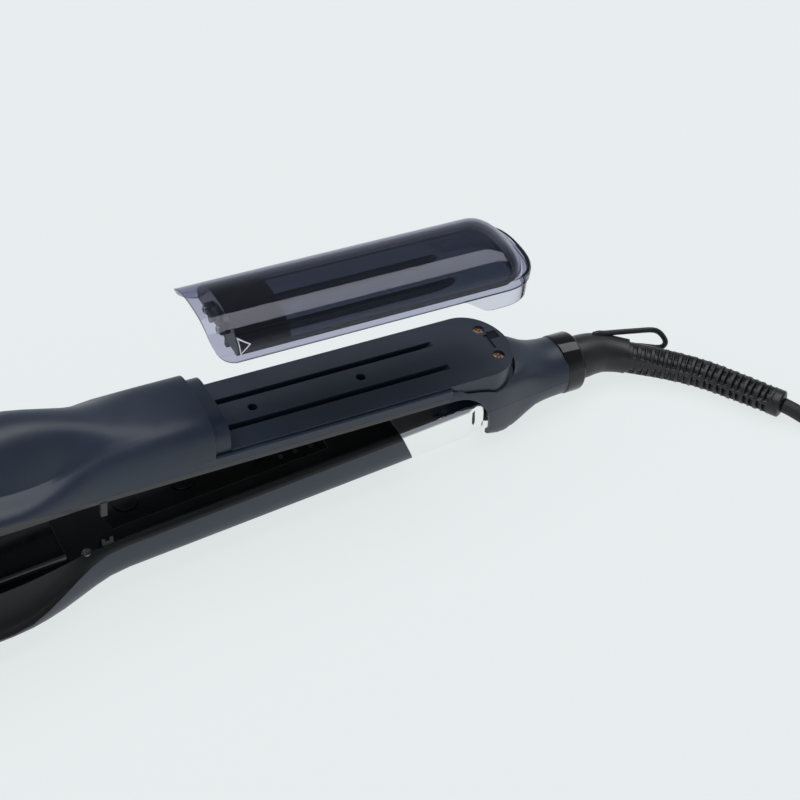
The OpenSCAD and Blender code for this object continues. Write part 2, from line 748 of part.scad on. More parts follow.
// Room for the lower arm's rear end.
module hinge_space() {
    along_y(-16.3, 16.3) circle(r = 11.6);
    box(-40, 0, -17.9, 17.9, -20, 12.8);
}

function neck_arch(half, top, bottom) = concat(
    [for (i = [0:28]) let (c = cos(180 * i / 28)) [half * c, bottom + (top - bottom) * boxy(abs(c))]]);

module port_block() {
    plug_half = upper_half - shell_wall - 0.6;
    color(navy) place_upper() difference() {
        union() {
            along_x(-housing_end + 0.02, -neck_back)
                polygon(neck_arch(neck_w / 2, neck_top, shelf_top + 0.02));
            along_x(-housing_end - 5, -housing_end + 0.1)
                polygon(neck_arch(plug_half, neck_top - 0.6, shelf_top + 0.02));
        }
        for (y = [-port_y, port_y]) along_x(-housing_end - 6, -neck_back + 1)
            translate([y, port_z]) circle(r = port_r);
        for (y = [-port_y, port_y]) along_x(-neck_back - 2, -neck_back + 1)
            translate([y, port_z]) circle(r = seal_r);
        box(-housing_end - 6, -housing_end - 1, -13, 13, upper_seam - 1, 26);
    }
}

module port_seals() {
    color("dimgray") place_upper() for (y = [-port_y, port_y])
        along_x(-neck_back - 1.98, -neck_back - 0.1) translate([y, port_z]) difference() {
            circle(r = seal_r - 0.02);
            circle(r = 1.3);
        }
}

// Cut of one groove: flat floor with a curved ramp at the rear.
module groove_cut(width, drop, length) {
    ramp = 12.5;
    along_y(groove_y - width / 2, groove_y + width / 2) polygon(concat(
        [[-neck_back - 2, dock_top + 1], [-neck_back - 2, groove_floor - drop]],
        [for (i = [0:12]) let (t = i / 12) [-groove_end - ramp * (1 - t) + length,
            groove_floor - drop + (groove_deep + drop) * (1 - sqrt(1 - t * t)) * 0.999]],
        [[-groove_end + length, dock_top + 1]]));
}

module tank_dock() {
    skirt_front = 26;
    color(navy) place_upper() difference() {
        union() {
            translate([0, 0, dock_under]) linear_extrude(dock_wall) dock_outline(0, 0, neck_back - 0.02);
            intersection() {
                translate([0, 0, moat_floor + 0.02]) linear_extrude(dock_top - moat_floor - 0.1)
                    dock_outline(-0.01, -0.01, skirt_front);
                above_ledge_dock();
            }
            mirrored_y() intersection() {
                groove_cut(groove_w + 2, 1, 0.8);
                box(-neck_back + 0.02, 0, 0, 20, 0, dock_top - 0.5);
            }
            for (d = [105.6, 58.4]) post(-d, 0, upper_face + 1.7, dock_under + 0.1, 3.4);
        }
        translate([0, 0, moat_floor - 1]) linear_extrude(dock_under - moat_floor + 1) difference() {
            dock_outline(-dock_wall, -dock_wall, skirt_front + 1);
            for (y = [-groove_y, groove_y]) translate([-skirt_front - 2, y - groove_w / 2 - 1])
                square([skirt_front + 2.8 - groove_end, groove_w + 2]);
            for (y = [-screw_y, screw_y]) translate([screw_x, y]) circle(r = 4);
            translate([catch_x - catch_half - 2.4, catch_y - catch_half - 1.2])
                square([2 * catch_half + 3.6, 2 * catch_half + 2.4]);
        }
        mirrored_y() groove_cut(groove_w, 0, 0);
        for (d = [105.6, 58.4]) post(-d, 0, groove_floor, 40, 2);
        for (y = [-screw_y, screw_y]) post(screw_x, y, dock_top - 2.6, 40, 2.5);
        for (y = [-screw_y, screw_y]) post(screw_x, y, 0, 40, 1.3);
        box(catch_x - catch_half, catch_x + catch_half, catch_y - catch_half, catch_y + catch_half,
            pocket_floor, 40);
        box(catch_x - catch_half - 1.2, catch_x + catch_half, catch_y - catch_half, catch_y + catch_half,
            pocket_floor, dock_under);
        box(0.4, catch_x, catch_y - 1, catch_y + 1, dock_top - 0.7, 40);
        box(0.4, 2.2, -4.4, catch_y + 1, dock_top - 0.7, 40);
    }
}

// The skirt under the dock's rim follows the ledge down to the moat's floor.
module above_ledge_dock() {
    along_y(-40, 40) polygon(concat([[-handle_end, 60], [-handle_end, ledge_top - 0.56]],
        [for (i = [0:10]) let (x = mix(-handle_end, moat_start, i / 10))
            [x, mix(ledge_top - 0.56, moat_floor + 0.02, ease(-handle_end - 2, moat_start, x))]],
        [[20, moat_floor + 0.02], [20, 60]]));
}

module dock_screws() {
    color("peru") place_upper() for (y = [-screw_y, screw_y])
        screw(screw_x, y, dock_top - 1, 2.35, 1.5, 1.15, 7.5, 0.8);
}

module tank_catch() {
    size = catch_half - guide_gap;
    color(panel_black) place_upper() union() {
        box(catch_x - size, catch_x + size, catch_y - size, catch_y + size, catch_under, dock_top - 0.3);
        box(catch_x - size - 1, catch_x + size, catch_y - size, catch_y + size, catch_under,
            dock_under - fit);
    }
}

module catch_spring() {
    color("silver") place_upper()
        coil_spring(catch_x, catch_y, pocket_floor + catch_travel + 0.1, catch_under - 0.02, 1.5, 0.5);
}

module upper_frame() {
    stations = concat([handle_end + 1, 100], head_stations, nose_stations);
    color(frame_grey) place_upper() difference() {
        union() {
            skin([for (d = stations)
                frame_ring(d, upper_side(d), upper_edge(d), upper_seam_z(d) - fit,
                    upper_face, ease(171, 200, d))], true);
            mirrored_y() box(-175.6, -173.2, 18.8, 20.6, lower_face + clearance, upper_face + 0.5);
            for (d = post_places, y = [-11, 11])
                post(-d, y, upper_face + 1, upper_carrier_z - 0.02, 2.2);
        }
        box(-window_front, -window_back, -window_half, upper_plate_b + 0.5, upper_face - 2,
            upper_face + 4);
        box(-bar_front - 0.3, -window_back, upper_plate_b, window_half, upper_face - 2, upper_face + 4);
    }
}

module upper_plate() {
    color(steel) place_upper() mirror([0, 0, 1])
        union() plate(plate_w / 2, upper_plate_b, -upper_plate_face, -upper_plate_foot);
}

module upper_heater() {
    color("peru") place_upper() box(-plate_front + 3, -plate_back - 3, -13, 8.6,
        upper_heater_under, upper_heater_under + 1.5);
}

module upper_plate_springs() {
    color("silver") place_upper() for (d = spring_places, y = [-9, 5])
        coil_spring(-d, y, upper_heater_under + 1.52, upper_carrier_z - plate_float - 0.1, 2.6, 0.8);
}

module upper_carrier() {
    color(frame_black) place_upper() difference() {
        carrier_plate(upper_carrier_z);
        box(-carrier_rear - 5, -carrier_rear + 1, -port_y - 2.6, -port_y + 2.6, upper_carrier_z - 1,
            upper_carrier_z + 3);
        for (x = [-265, -240, -215]) box(x - 6, x + 6, -5, 5, upper_carrier_z - 1, upper_carrier_z + 3);
    }
}

// Flat boiler on the carrier, with an outlet to the steam bar.
module steam_chamber() {
    z0 = upper_carrier_z + 1.42;
    color(steel) place_upper() difference() {
        union() {
            box(-270, -205, -12, 12, z0, z0 + 8);
            along_x(-205.1, -200) translate([-port_y, z0 + 4]) circle(r = 2.2);
        }
        box(-268, -207, -10, 10, z0 + 2, z0 + 6);
        along_x(-208, -199) translate([-port_y, z0 + 4]) circle(r = 1.1);
    }
}

module water_pump() {
    color("dimgray") place_upper() union() {
        box(-166, -144, -9, 9, upper_face + frame_wall + 0.02, upper_face + 12);
        along_x(-144.1, -140) translate([port_y, port_z - 4]) circle(r = 1.9);
        along_x(-170, -165.9) translate([-port_y, port_z - 4]) circle(r = 1.9);
    }
}

// Flexible tubes: port to pump, and pump to boiler.
module water_tubes() {
    boiler_z = upper_carrier_z + 5.42;
    color("whitesmoke") place_upper() union() {
        sweep(smooth_path([[-139.5, port_y, port_z - 4], [-138, port_y, port_z - 3.4],
            [-136.6, port_y, port_z - 0.6], [-135.3, port_y, port_z]], 4), [for (i = [0:12]) 1.8], 10);
        sweep(smooth_path([[-170.5, -port_y, port_z - 4], [-176, -port_y, port_z - 3.4],
            [-186, -port_y, boiler_z - 0.4], [-199.9, -port_y, boiler_z]], 4), [for (i = [0:12]) 1.8], 10);
    }
}

// Row of steam outlets beside the upper plate.
module steam_bar() {
    y1 = window_half - 0.05;
    y0 = y1 - steam_bar_w + 0.1;
    top = upper_face + frame_wall;
    color(frame_black) place_upper() difference() {
        union() {
            box(-bar_front, -plate_back, y0, y1, upper_face - 1, top + 5);
            box(-bar_front + 6, -clip_back, y0 + 0.4, y1 + 0.7, top + 0.05, top + 1.2);
        }
        box(-bar_front + 2, -plate_back - 2, y0 + 1, y1 - 1, upper_face + 1, top + 4);
        for (i = [0:8]) box(-plate_back - 7 - 9 * i - 3, -plate_back - 7 - 9 * i + 1, y0 + 1.2, y1 - 1.2, 0,
            upper_face + 3);
    }
}

module tail_shell() {
    color(navy) place_upper() difference() {
        union() {
            skin([for (x = tail_stations) tail_ring(x, -1)], true);
            mirrored_y() along_y(boss_inner, 16.6) circle(r = 5.2);
            for (y = [-tail_screw_y, tail_screw_y])
                post(tail_screw_x, y, tail_screw_z - 2, tail_seam(tail_screw_x) - 0.6, 2.9);
            along_x(31, collar_front - 0.5) difference() {
                circle(r = 11.6);
                circle(r = stem_r + 0.1);
            }
        }
        ear_cut();
        box(-40, 9, -16.3, 16.3, -40, -5);
        mirrored_y() along_y(-1, boss_inner - 0.02) circle(r = 11.6);
        box(-40, -5.4, -17.9, 17.9, -40, 12.8);
        along_y(-16.35, 16.35) circle(r = pin_r + 0.05);
        box(28, 45, -13, 13, tail_seam(36) - 0.12, 20);
        for (y = [-tail_screw_y, tail_screw_y]) post(tail_screw_x, y, -20, tail_screw_z + 0.02, 2.3);
        for (y = [-tail_screw_y, tail_screw_y]) post(tail_screw_x, y, -20, 10, 1.2);
    }
}

module tail_screws() {
    color("silver") place_upper() for (y = [-tail_screw_y, tail_screw_y])
        translate([0, 0, 2 * tail_screw_z]) mirror([0, 0, 1])
            screw(tail_screw_x, y, tail_screw_z + 1, 2.1, 1, 1.1, 14, 0.6);
}

module collar_ring() {
    color(panel_black) place_upper() rotate([0, 90, 0]) rotate_extrude($fn = 96) polygon([
        [boot_d / 2 + 0.15, collar_rear], [collar_r - 0.8, collar_rear], [collar_r, collar_rear - 0.9],
        [collar_r, collar_front + 0.5], [collar_r - 0.4, collar_front], [stem_r + 0.1, collar_front],
        [stem_r + 0.1, collar_front + 2], [boot_d / 2 + 0.15, collar_front + 2]]);
}

// Tank, drawn docked

function cover_side(x) = x < dock_end_x ? cover_half
    : cover_half * sqrt(max(0, 1 - pow((x - dock_end_x) / (cover_end - dock_end_x), 2)));
function cover_inside(x) = (cover_half - cover_wall) * (x < dock_end_x ? 1
    : sqrt(max(0, 1 - pow((x - dock_end_x) / (cover_end - dock_end_x - cover_wall - 0.2), 2))));
function cover_crown(x) = x < -dome_start ? tank_top
    : dome_foot + (tank_top - dome_foot)
        * oval(min(1, (x + dome_start) / (cover_end + dome_start)), 2.4);
function oval_up(t) = sqrt(max(0, 1 - pow(1 - min(1, t), 2)));
function cover_foot(x) = x < -60
    ? mix(ledge_top + front_rise, ledge_top + 0.05, oval_up((x + cover_front) / front_rise))
    : mix(ledge_top + 0.05, cover_tip, ease(-handle_end, moat_start, x));

// An arch with upright feet that reach from z_foot up to z_base.
function cover_arc(half, z_foot, z_base, z_crown) = concat([[half, z_foot]],
    [for (i = [0:cover_steps]) let (c = cos(180 * i / cover_steps))
        [half * c, z_base + (z_crown - z_base) * pow(max(0, 1 - pow(abs(c), 4)), 1 / 3)]],
    [[-half, z_foot]]);
function cover_ring(x) = let (
        half = cover_side(x),
        ahead = x > dock_end_x ? x + cover_wall + 0.2 : x,
        half_in = max(0.3 * half, cover_inside(x)),
        foot = cover_foot(x),
        crown = cover_crown(x),
        crown_in = ahead > cover_end ? mix(foot, crown, 0.1)
            : max(mix(foot, crown, 0.25), min(crown, cover_crown(ahead)) - cover_wall),
        base = max(foot + 0.2, dock_top + clearance))
    shell_ring(x, cover_arc(half, foot, base, crown),
        cover_arc(half_in, foot, min(base, mix(foot, crown_in, 0.6)), crown_in));

// Clear cover. Where its rear dips into the moat, its sides step in to pass the tail's rim.
module tank_cover() {
    color(smoke, 0.5) place_tank() difference() {
        skin([for (x = cover_stations) cover_ring(x)], true);
        difference() {
            box(-handle_end - 6, cover_end + 5, -40, 40, 0, ledge_top + clearance);
            linear_extrude(60) dock_outline(moat_side - 0.2, moat_gap - 0.2, 60);
        }
    }
}

// Inner vessel with its cavity, its valve pocket and two rails that fit the grooves.
function vessel_side(x, inset) = x < dock_end_x - 3 ? vessel_half - inset
    : (vessel_half - inset)
        * sqrt(max(0.01, 1 - pow((x - dock_end_x + 3) / (vessel_end - inset - dock_end_x + 3), 2)));
function vessel_crown(x, inset) = vessel_floor + inset + (vessel_top - vessel_floor - 2 * inset)
    * (x < -vessel_dome ? 1
        : oval(min(0.97, (x + vessel_dome) / (vessel_end - inset + vessel_dome)), 2.2));
function vessel_ring(x, inset) = let (half = vessel_side(x, inset), z0 = vessel_floor + inset,
        z1 = vessel_crown(x, inset))
    [for (p = concat([for (i = [0:20]) let (c = cos(180 * i / 20))
        [half * c, z0 + (z1 - z0) * (0.04 + 0.96 * pow(max(0, 1 - pow(abs(c), 3)), 1 / 2.4))]],
        [[-half, z0], [half, z0]])) [x, p[0], p[1]]];
module tank_reservoir() {
    rear = [0.1, 0.3, 0.5, 0.66, 0.8, 0.9, 0.965];
    hollow_end = vessel_end - reservoir_wall;
    color([0.2, 0.22, 0.32]) place_tank() difference() {
        union() {
            skin([for (x = concat([-vessel_front, -60],
                [for (t = rear) mix(-vessel_dome, vessel_end, t)])) vessel_ring(x, 0)], false);
            mirrored_y() intersection() {
                groove_cut(groove_w - 0.8, -0.5, -1.2);
                box(-vessel_front + 0.2, 0, 0, 20, 0, vessel_floor + 0.3);
            }
        }
        skin([for (x = concat([-98, -60], [for (t = rear) mix(-vessel_dome, hollow_end, t)]))
            vessel_ring(x, reservoir_wall)], false);
        box(-vessel_front - 1, -99.6, -16, 16, vessel_floor + 1, vessel_top - 2);
    }
}

module valve_block() {
    color(panel_black) place_tank() difference() {
        box(-vessel_front + 0.3, -99.7, -15.9, 15.9, vessel_floor + 1.1, vessel_top - 2.1);
        for (y = [-port_y, port_y]) along_x(-vessel_front - 1, -105) translate([y, port_z]) circle(r = 1.5);
        along_x(-vessel_front - 1, -112) translate([plug_y, plug_z]) circle(r = plug_r + 0.1);
    }
}

// Two short tubes that meet the port seals. They keep port_gap from the neck while the tank slides in.
module tank_nozzles() {
    color("gray") place_tank() for (y = [-port_y, port_y])
        along_x(-neck_back + port_gap, -105.1) translate([y, port_z]) difference() {
            circle(r = 1.45);
            circle(r = 0.8);
        }
}

module nozzle_seals() {
    color("black") place_tank() for (y = [-port_y, port_y])
        along_x(-vessel_front - 1.6, -vessel_front + 0.28) translate([y, port_z]) difference() {
            circle(r = 2.4);
            circle(r = 1.5);
        }
}

module filler_plug() {
    color("dimgray") place_tank() union() {
        along_x(-vessel_front - 0.8, -112.1) translate([plug_y, plug_z]) circle(r = plug_r);
        along_x(-vessel_front - 1, -vessel_front + 0.25) translate([plug_y, plug_z]) circle(r = plug_r);
        box(-vessel_front - 2.6, -vessel_front - 0.7, plug_y - 1.5, plug_y + 1.5, plug_z - 0.8,
            plug_z + 0.8);
    }
}

// Cord side

module boot_stem() {
    place_upper() rotate([0, 90, 0]) rotate_extrude() polygon([
        [cord_d / 2, 27], [8, 27], [8, 30.8], [stem_r, 30.8], [stem_r, collar_front + 2.2],
        [boot_d / 2, collar_front + 2.2], [boot_d / 2, collar_rear + 1], [cord_d / 2, collar_rear + 1]]);
}

// A rod on the axis that the hanging loop swings about, from t0 to t1 along it.
loop_span = norm(loop_path[len(loop_path) - 1] - loop_path[0]);
module on_loop_axis(t0, t1, r) {
    way = unit(loop_path[len(loop_path) - 1] - loop_path[0]);
    place_lower() translate(loop_path[0]) rotate([0, acos(way[2]), atan2(way[1], way[0])])
        translate([0, 0, t0]) cylinder(r = r, h = t1 - t0);
}

module swivel_boot() {
    path = smooth_path(boot_path, 3);
    n = len(path) - 1;
    color(frame_black) difference() {
        union() {
            boot_stem();
            place_lower()
                sweep(path, [for (i = [0:n]) mix(boot_d / 2 - 0.3, guard_d / 2, ease(0, n, i))], 20);
            on_loop_axis(1.5, loop_span - 1.5, 2);
        }
        on_loop_axis(-1, loop_span + 1, loop_pin_r + 0.05);
    }
}

// Ribbed guard: ribs stand out from a thinner core, with a smooth cap at the cord's end.
module cord_guard() {
    steps = 4;
    fine = smooth_path(guard_path, guard_ribs + 2);
    n = len(fine) - 1;
    function taper(i) = mix(guard_d / 2, guard_d / 2 - 1.1, i / n);
    function ribbed(i) = i < 2 || i > n - 8 ? taper(i) : taper(i) - (i % steps < 2 ? 0 : 1.3);
    color(frame_black) place_lower() sweep(fine, [for (i = [0:n]) ribbed(i)], 16);
}

module hanging_loop() {
    path = smooth_path(loop_path, 3);
    color("dimgray") union() {
        place_lower() sweep(path, [for (p = path) loop_wire_r], 8);
        on_loop_axis(0, 4.6, loop_pin_r);
        on_loop_axis(loop_span - 4.6, loop_span, loop_pin_r);
    }
}

module power_cord() {
    path = smooth_path(cord_path, 2);
    color([0.2, 0.2, 0.21]) place_lower() sweep(path, [for (p = path) cord_d / 2], 10);
}

module hank_outline(r) {
    polygon(concat(arc(hank_x + hank_run, hank_y, r, r, -90, 90, 24),
        arc(hank_x, hank_y, r, r, 90, 270, 24)));
}

module cord_hank() {
    color([0.2, 0.2, 0.21]) translate([hinge_x, 0, 0])
        linear_extrude(hank_layers * cord_d) hank_outline(hank_r + cord_d / 2);
}

module cord_tie() {
    half = hank_r + cord_d / 2 + 0.05;
    top = hank_layers * cord_d + 0.05;
    color("black") translate([hinge_x, 0, 0]) difference() {
        box(tie_x, tie_x + 12, hank_y - half - 1.1, hank_y + half + 1.1, 0, top + 1.1);
        box(tie_x - 1, tie_x + 13, hank_y - half, hank_y + half, -1, top);
    }
}

// Flat two-pin plug lying on the folded cord.
module plug_body() {
    front = plug_tail + plug_relief;
    color(frame_black) translate([hinge_x, hank_y, plug_axis]) union() {
        translate([plug_tail, 0, 0]) rotate([0, 90, 0]) cylinder(r1 = 4, r2 = 5.6, h = plug_relief + 1);
        translate([0, 0, -plug_thick / 2]) linear_extrude(plug_thick) polygon([
            [front, -8], [front, 8], [front + 12, plug_half_w - 4], [front + plug_body_len - 3, plug_half_w],
            [front + plug_body_len, plug_half_w - 2], [front + plug_body_len, -plug_half_w + 2],
            [front + plug_body_len - 3, -plug_half_w], [front + 12, -plug_half_w + 4]]);
    }
}

module plug_pins() {
    start = plug_tail + plug_relief + plug_body_len + 0.02;
    color(steel) translate([hinge_x, hank_y, plug_axis]) for (y = [-9.3, 9.3])
        translate([start, y, 0]) rotate([0, 90, 0]) union() {
            cylinder(r = 2, h = 18.2);
            translate([0, 0, 18.2]) sphere(r = 2);
        }
}

lower_shell();
lower_frame();
control_panel();
power_button();
mode_button();
lock_slider();
indicator_lights();
control_board();
key_switches();
lower_plate();
lower_heater();
lower_plate_springs();
lower_carrier();
chrome_cap();
hinge_knuckle();
frame_screws();
guide_posts();
hinge_pin();
hinge_spring();
upper_shell();
port_block();
port_seals();
tank_dock();
dock_screws();
tank_catch();
catch_spring();
upper_frame();
upper_plate();
upper_heater();
upper_plate_springs();
upper_carrier();
steam_chamber();
water_pump();
water_tubes();
steam_bar();
tail_shell();
tail_screws();
collar_ring();
tank_cover();
tank_reservoir();
valve_block();
tank_nozzles();
nozzle_seals();
filler_plug();
swivel_boot();
cord_guard();
hanging_loop();
power_cord();
cord_hank();
cord_tie();
plug_body();
plug_pins();
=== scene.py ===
import logging
import math
from dataclasses import dataclass, field
from enum import Enum

import bpy
import numpy as np
from bpy.types import Material, Mesh, Node, NodeSocket, NodeTree, Object, Scene
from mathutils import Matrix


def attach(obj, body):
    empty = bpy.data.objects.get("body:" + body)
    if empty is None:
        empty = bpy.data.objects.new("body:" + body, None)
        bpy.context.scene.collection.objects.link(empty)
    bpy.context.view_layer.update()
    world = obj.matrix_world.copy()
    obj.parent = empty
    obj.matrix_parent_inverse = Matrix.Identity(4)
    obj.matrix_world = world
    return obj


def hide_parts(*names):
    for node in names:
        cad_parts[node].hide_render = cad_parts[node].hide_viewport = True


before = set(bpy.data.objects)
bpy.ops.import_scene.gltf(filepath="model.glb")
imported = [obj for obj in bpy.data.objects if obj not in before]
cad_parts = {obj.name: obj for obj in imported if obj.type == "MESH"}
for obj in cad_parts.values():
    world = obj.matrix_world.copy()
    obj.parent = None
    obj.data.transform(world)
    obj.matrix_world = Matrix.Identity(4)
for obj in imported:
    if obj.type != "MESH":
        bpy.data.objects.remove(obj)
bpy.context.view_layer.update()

LOG = logging.getLogger("straightener")

# Places that part.scad works out: the hinge axis in the row frame, in millimetres, the angle between the arms, and
# how far the tank is lifted
HINGE = np.array([124.8424, 0.0, 17.5529])
OPEN_ANGLE = math.radians(6.26)
TANK_OFFSET = np.array([-2.8, 0.0, 45.0])


class Place(Enum):
    """The part of the object whose own axes a shape is drawn in."""

    LOWER = "lower arm, level"
    UPPER = "upper arm, turned open about the hinge"
    TANK = "tank, lifted above the upper arm"
    FLOOR = "hinge axis in plan, floor as zero height"


def to_frame(points: np.ndarray, place: Place) -> np.ndarray:
    """Moves points from a part's own axes, in millimetres, to the row frame, in metres.

    The upper arm and the tank turn about the hinge's Y axis by the open angle; the tank is first lifted.

    Args:
        points: Array whose last axis holds x, y and z.
        place: The axes that the points are drawn in.

    Returns:
        The same array in metres in the row frame.
    """
    p = np.asarray(points, float)
    if place is Place.TANK:
        p = p + TANK_OFFSET
    if place in (Place.UPPER, Place.TANK):
        c, s = math.cos(OPEN_ANGLE), math.sin(OPEN_ANGLE)
        p = np.stack([p[..., 0] * c + p[..., 2] * s, p[..., 1], p[..., 2] * c - p[..., 0] * s], -1)
    if place is Place.FLOOR:
        return (p + HINGE * [1, 1, 0]) / 1000
    return (p + HINGE) / 1000


def linear(code: str) -> tuple[float, float, float, float]:
    """Turns an sRGB hex code into linear RGBA.

    Args:
        code: Six hex digits with a leading hash.

    Returns:
        Linear red, green, blue and an alpha of 1.
    """
    srgb = [int(code[i:i + 2], 16) / 255 for i in (1, 3, 5)]
    return (*[c / 12.92 if c <= 0.04045 else ((c + 0.055) / 1.055) ** 2.4 for c in srgb], 1.0)


def ease(a: float, b: float, x: np.ndarray) -> np.ndarray:
    """Smooth step: 0 at a, 1 at b, with level ends."""
    t = np.clip((np.asarray(x, float) - a) / (b - a), 0, 1)
    return t * t * (3 - 2 * t)


def mix(p: np.ndarray, q: np.ndarray, t: np.ndarray) -> np.ndarray:
    """Straight blend from p at t 0 to q at t 1."""
    return p + (q - p) * t


def spline(points: list, steps: int) -> np.ndarray:
    """Curve through points by Catmull and Rom's cubic, a fixed number of steps to each piece.

    Args:
        points: The points that the curve passes through.
        steps: Samples between two neighbouring points.

    Returns:
        Array of points along the curve, both ends included.
    """
    p = np.asarray(points, float)
    a = np.vstack([p[:1], p, p[-1:]])
    t = (np.arange(steps) / steps)[None, :, None]
    p0, p1, p2, p3 = (a[i:len(p) - 1 + i, None, :] for i in range(4))
    curve = 0.5 * (2 * p1 + (p2 - p0) * t + (2 * p0 - 5 * p1 + 4 * p2 - p3) * t ** 2
                   + (3 * p1 - p0 - 3 * p2 + p3) * t ** 3)
    return np.vstack([curve.reshape(-1, 3), p[-1:]])


def along(path: np.ndarray) -> np.ndarray:
    """Distance along a polyline to each of its points."""
    return np.concatenate([[0], np.cumsum(np.linalg.norm(np.diff(path, axis=0), axis=1))])


def axes_on(path: np.ndarray) -> tuple[np.ndarray, np.ndarray]:
    """Side and up directions across a path that nowhere stands upright.

    The side is the path's direction crossed with world up, and up is the side crossed with the direction.

    Args:
        path: Points along the path.

    Returns:
        Unit side vectors and unit up vectors, one for each point.
    """
    way = np.gradient(path, axis=0)
    way /= np.linalg.norm(way, axis=1, keepdims=True)
    side = np.cross(way, [0, 0, 1.0])
    side /= np.linalg.norm(side, axis=1, keepdims=True)
    return side, np.cross(side, way)


def tube(path: np.ndarray, radius: np.ndarray, sides: int) -> np.ndarray:
    """Grid of points on a tube: each ring is a circle across the path, of the radius given there.

    Args:
        path: Points along the middle.
        radius: One radius, one for each point, or one for each point and each side.
        sides: Number of points round each ring.

    Returns:
        Array of rings by sides by 3.
    """
    side, up = axes_on(path)
    turn = 2 * np.pi * np.arange(sides) / sides
    r = np.asarray(radius, float)
    r = np.broadcast_to(r if r.ndim == 2 else r.reshape(-1, 1), (len(path), sides))[..., None]
    return path[:, None] + r * (np.cos(turn)[None, :, None] * side[:, None]
                                + np.sin(turn)[None, :, None] * up[:, None])


def surface(name: str, grid: np.ndarray, closed: bool = True, caps: bool = True,
            smooth: bool = True) -> Object:
    """Makes a mesh object from a grid of points, with a UV map in metres along and around.

    Quads join each ring to the next, and a fan to the ring's middle closes each end.

    Args:
        name: Name of the new object.
        grid: Rings by points by 3, in metres in the row frame.
        closed: Whether each ring's last point joins its first.
        caps: Whether the two ends are closed.
        smooth: Whether the faces are shaded smooth.

    Returns:
        The new object, at the origin.
    """
    m, n = grid.shape[:2]
    points = grid.reshape(-1, 3)
    i, j = np.meshgrid(np.arange(m - 1), np.arange(n if closed else n - 1), indexing="ij")
    k = (j + 1) % n
    quads = np.stack([i * n + j, i * n + k, (i + 1) * n + k, (i + 1) * n + j], -1).reshape(-1, 4)
    faces = [quads]
    if caps:
        points = np.vstack([points, grid[0].mean(0), grid[-1].mean(0)])
        ring = np.arange(n)
        after = (ring + 1) % n
        first = np.stack([np.full(n, m * n), after, ring], -1)
        last = np.stack([np.full(n, m * n + 1), (m - 1) * n + ring, (m - 1) * n + after], -1)
        faces += [first, last]
    mesh = bpy.data.meshes.new(name)
    mesh.from_pydata(points.tolist(), [], [f for block in faces for f in block.tolist()])
    mesh.validate()
    mesh.polygons.foreach_set("use_smooth", np.full(len(mesh.polygons), smooth))
    length = np.concatenate([[0], np.cumsum(np.linalg.norm(np.diff(grid, axis=0), axis=2).mean(1))])
    turn = np.concatenate([[0], np.cumsum(np.linalg.norm(np.diff(grid, axis=1), axis=2).mean(0))])
    flat = np.stack(np.meshgrid(length, turn, indexing="ij"), -1).reshape(-1, 2)
    flat = np.vstack([flat, [[length[0], 0], [length[-1], 0]]]) if caps else flat
    corner = np.empty(len(mesh.loops), np.int32)
    mesh.loops.foreach_get("vertex_index", corner)
    mesh.uv_layers.new(name="Surface").data.foreach_set("uv", flat[corner].ravel())
    return finish_object(name, mesh)


def finish_object(name: str, mesh: Mesh) -> Object:
    """Links a mesh as a new object and turns its faces outwards if its volume comes out negative."""
    mesh.calc_loop_triangles()
    co = np.empty(len(mesh.vertices) * 3)
    mesh.vertices.foreach_get("co", co)
    tri = np.empty(len(mesh.loop_triangles) * 3, np.int32)
    mesh.loop_triangles.foreach_get("vertices", tri)
    a, b, c = co.reshape(-1, 3)[tri].reshape(-1, 3, 3).transpose(1, 0, 2)
    if np.einsum("ij,ij->", a, np.cross(b, c)) < 0:
        mesh.flip_normals()
    obj = bpy.data.objects.new(name, mesh)
    bpy.context.scene.collection.objects.link(obj)
    return obj


def soften(obj: Object, degrees: float = 32.0, weld_m: float = 2e-6) -> None:
    """Shades a solid's curved faces smooth and keeps its edges sharp.

    Args:
        obj: A solid of loose triangles or of joined faces.
        degrees: Faces that meet at a larger angle keep a sharp edge.
        weld_m: Points nearer than this are joined first; 0 leaves them apart.
    """
    obj.data.polygons.foreach_set("use_smooth", np.full(len(obj.data.polygons), True))
    if weld_m:
        obj.modifiers.new("weld", "WELD").merge_threshold = weld_m
    obj.modifiers.new("edges", "EDGE_SPLIT").split_angle = math.radians(degrees)


def add_node(tree: NodeTree, kind: str, settings: dict | None = None,
             links: dict | None = None) -> Node:
    """Adds one shader node with its settings and its incoming links.

    Args:
        tree: The node tree to add to.
        kind: Blender's name of the node type.
        settings: Values of sockets, by name or number, or of the node's own properties.
        links: Output sockets to join to this node's inputs, by name or number.

    Returns:
        The new node.
    """
    node = tree.nodes.new(kind)
    for key, value in (settings or {}).items():
        if isinstance(key, int) or key in node.inputs:
            node.inputs[key].default_value = value
        else:
            setattr(node, key, value)
    for key, source in (links or {}).items():
        tree.links.new(source, node.inputs[key])
    return node


def noise(tree: NodeTree, place: NodeSocket, scale: float,
          detail: float = 2.0) -> NodeSocket:
    """Adds a soft noise with so many waves to a unit of its place, and returns its grey value."""
    cloud = add_node(tree, "ShaderNodeTexNoise", {"Scale": scale, "Detail": detail}, {"Vector": place})
    return cloud.outputs["Fac"]


def spread(tree: NodeTree, value: NodeSocket, start: float, stop: float, low: float = 0.0,
           high: float = 1.0) -> NodeSocket:
    """Maps a value between start and stop onto low to high, held at both ends, and returns it."""
    ends = {"From Min": start, "From Max": stop, "To Min": low, "To Max": high}
    return add_node(tree, "ShaderNodeMapRange", ends, {"Value": value}).outputs["Result"]


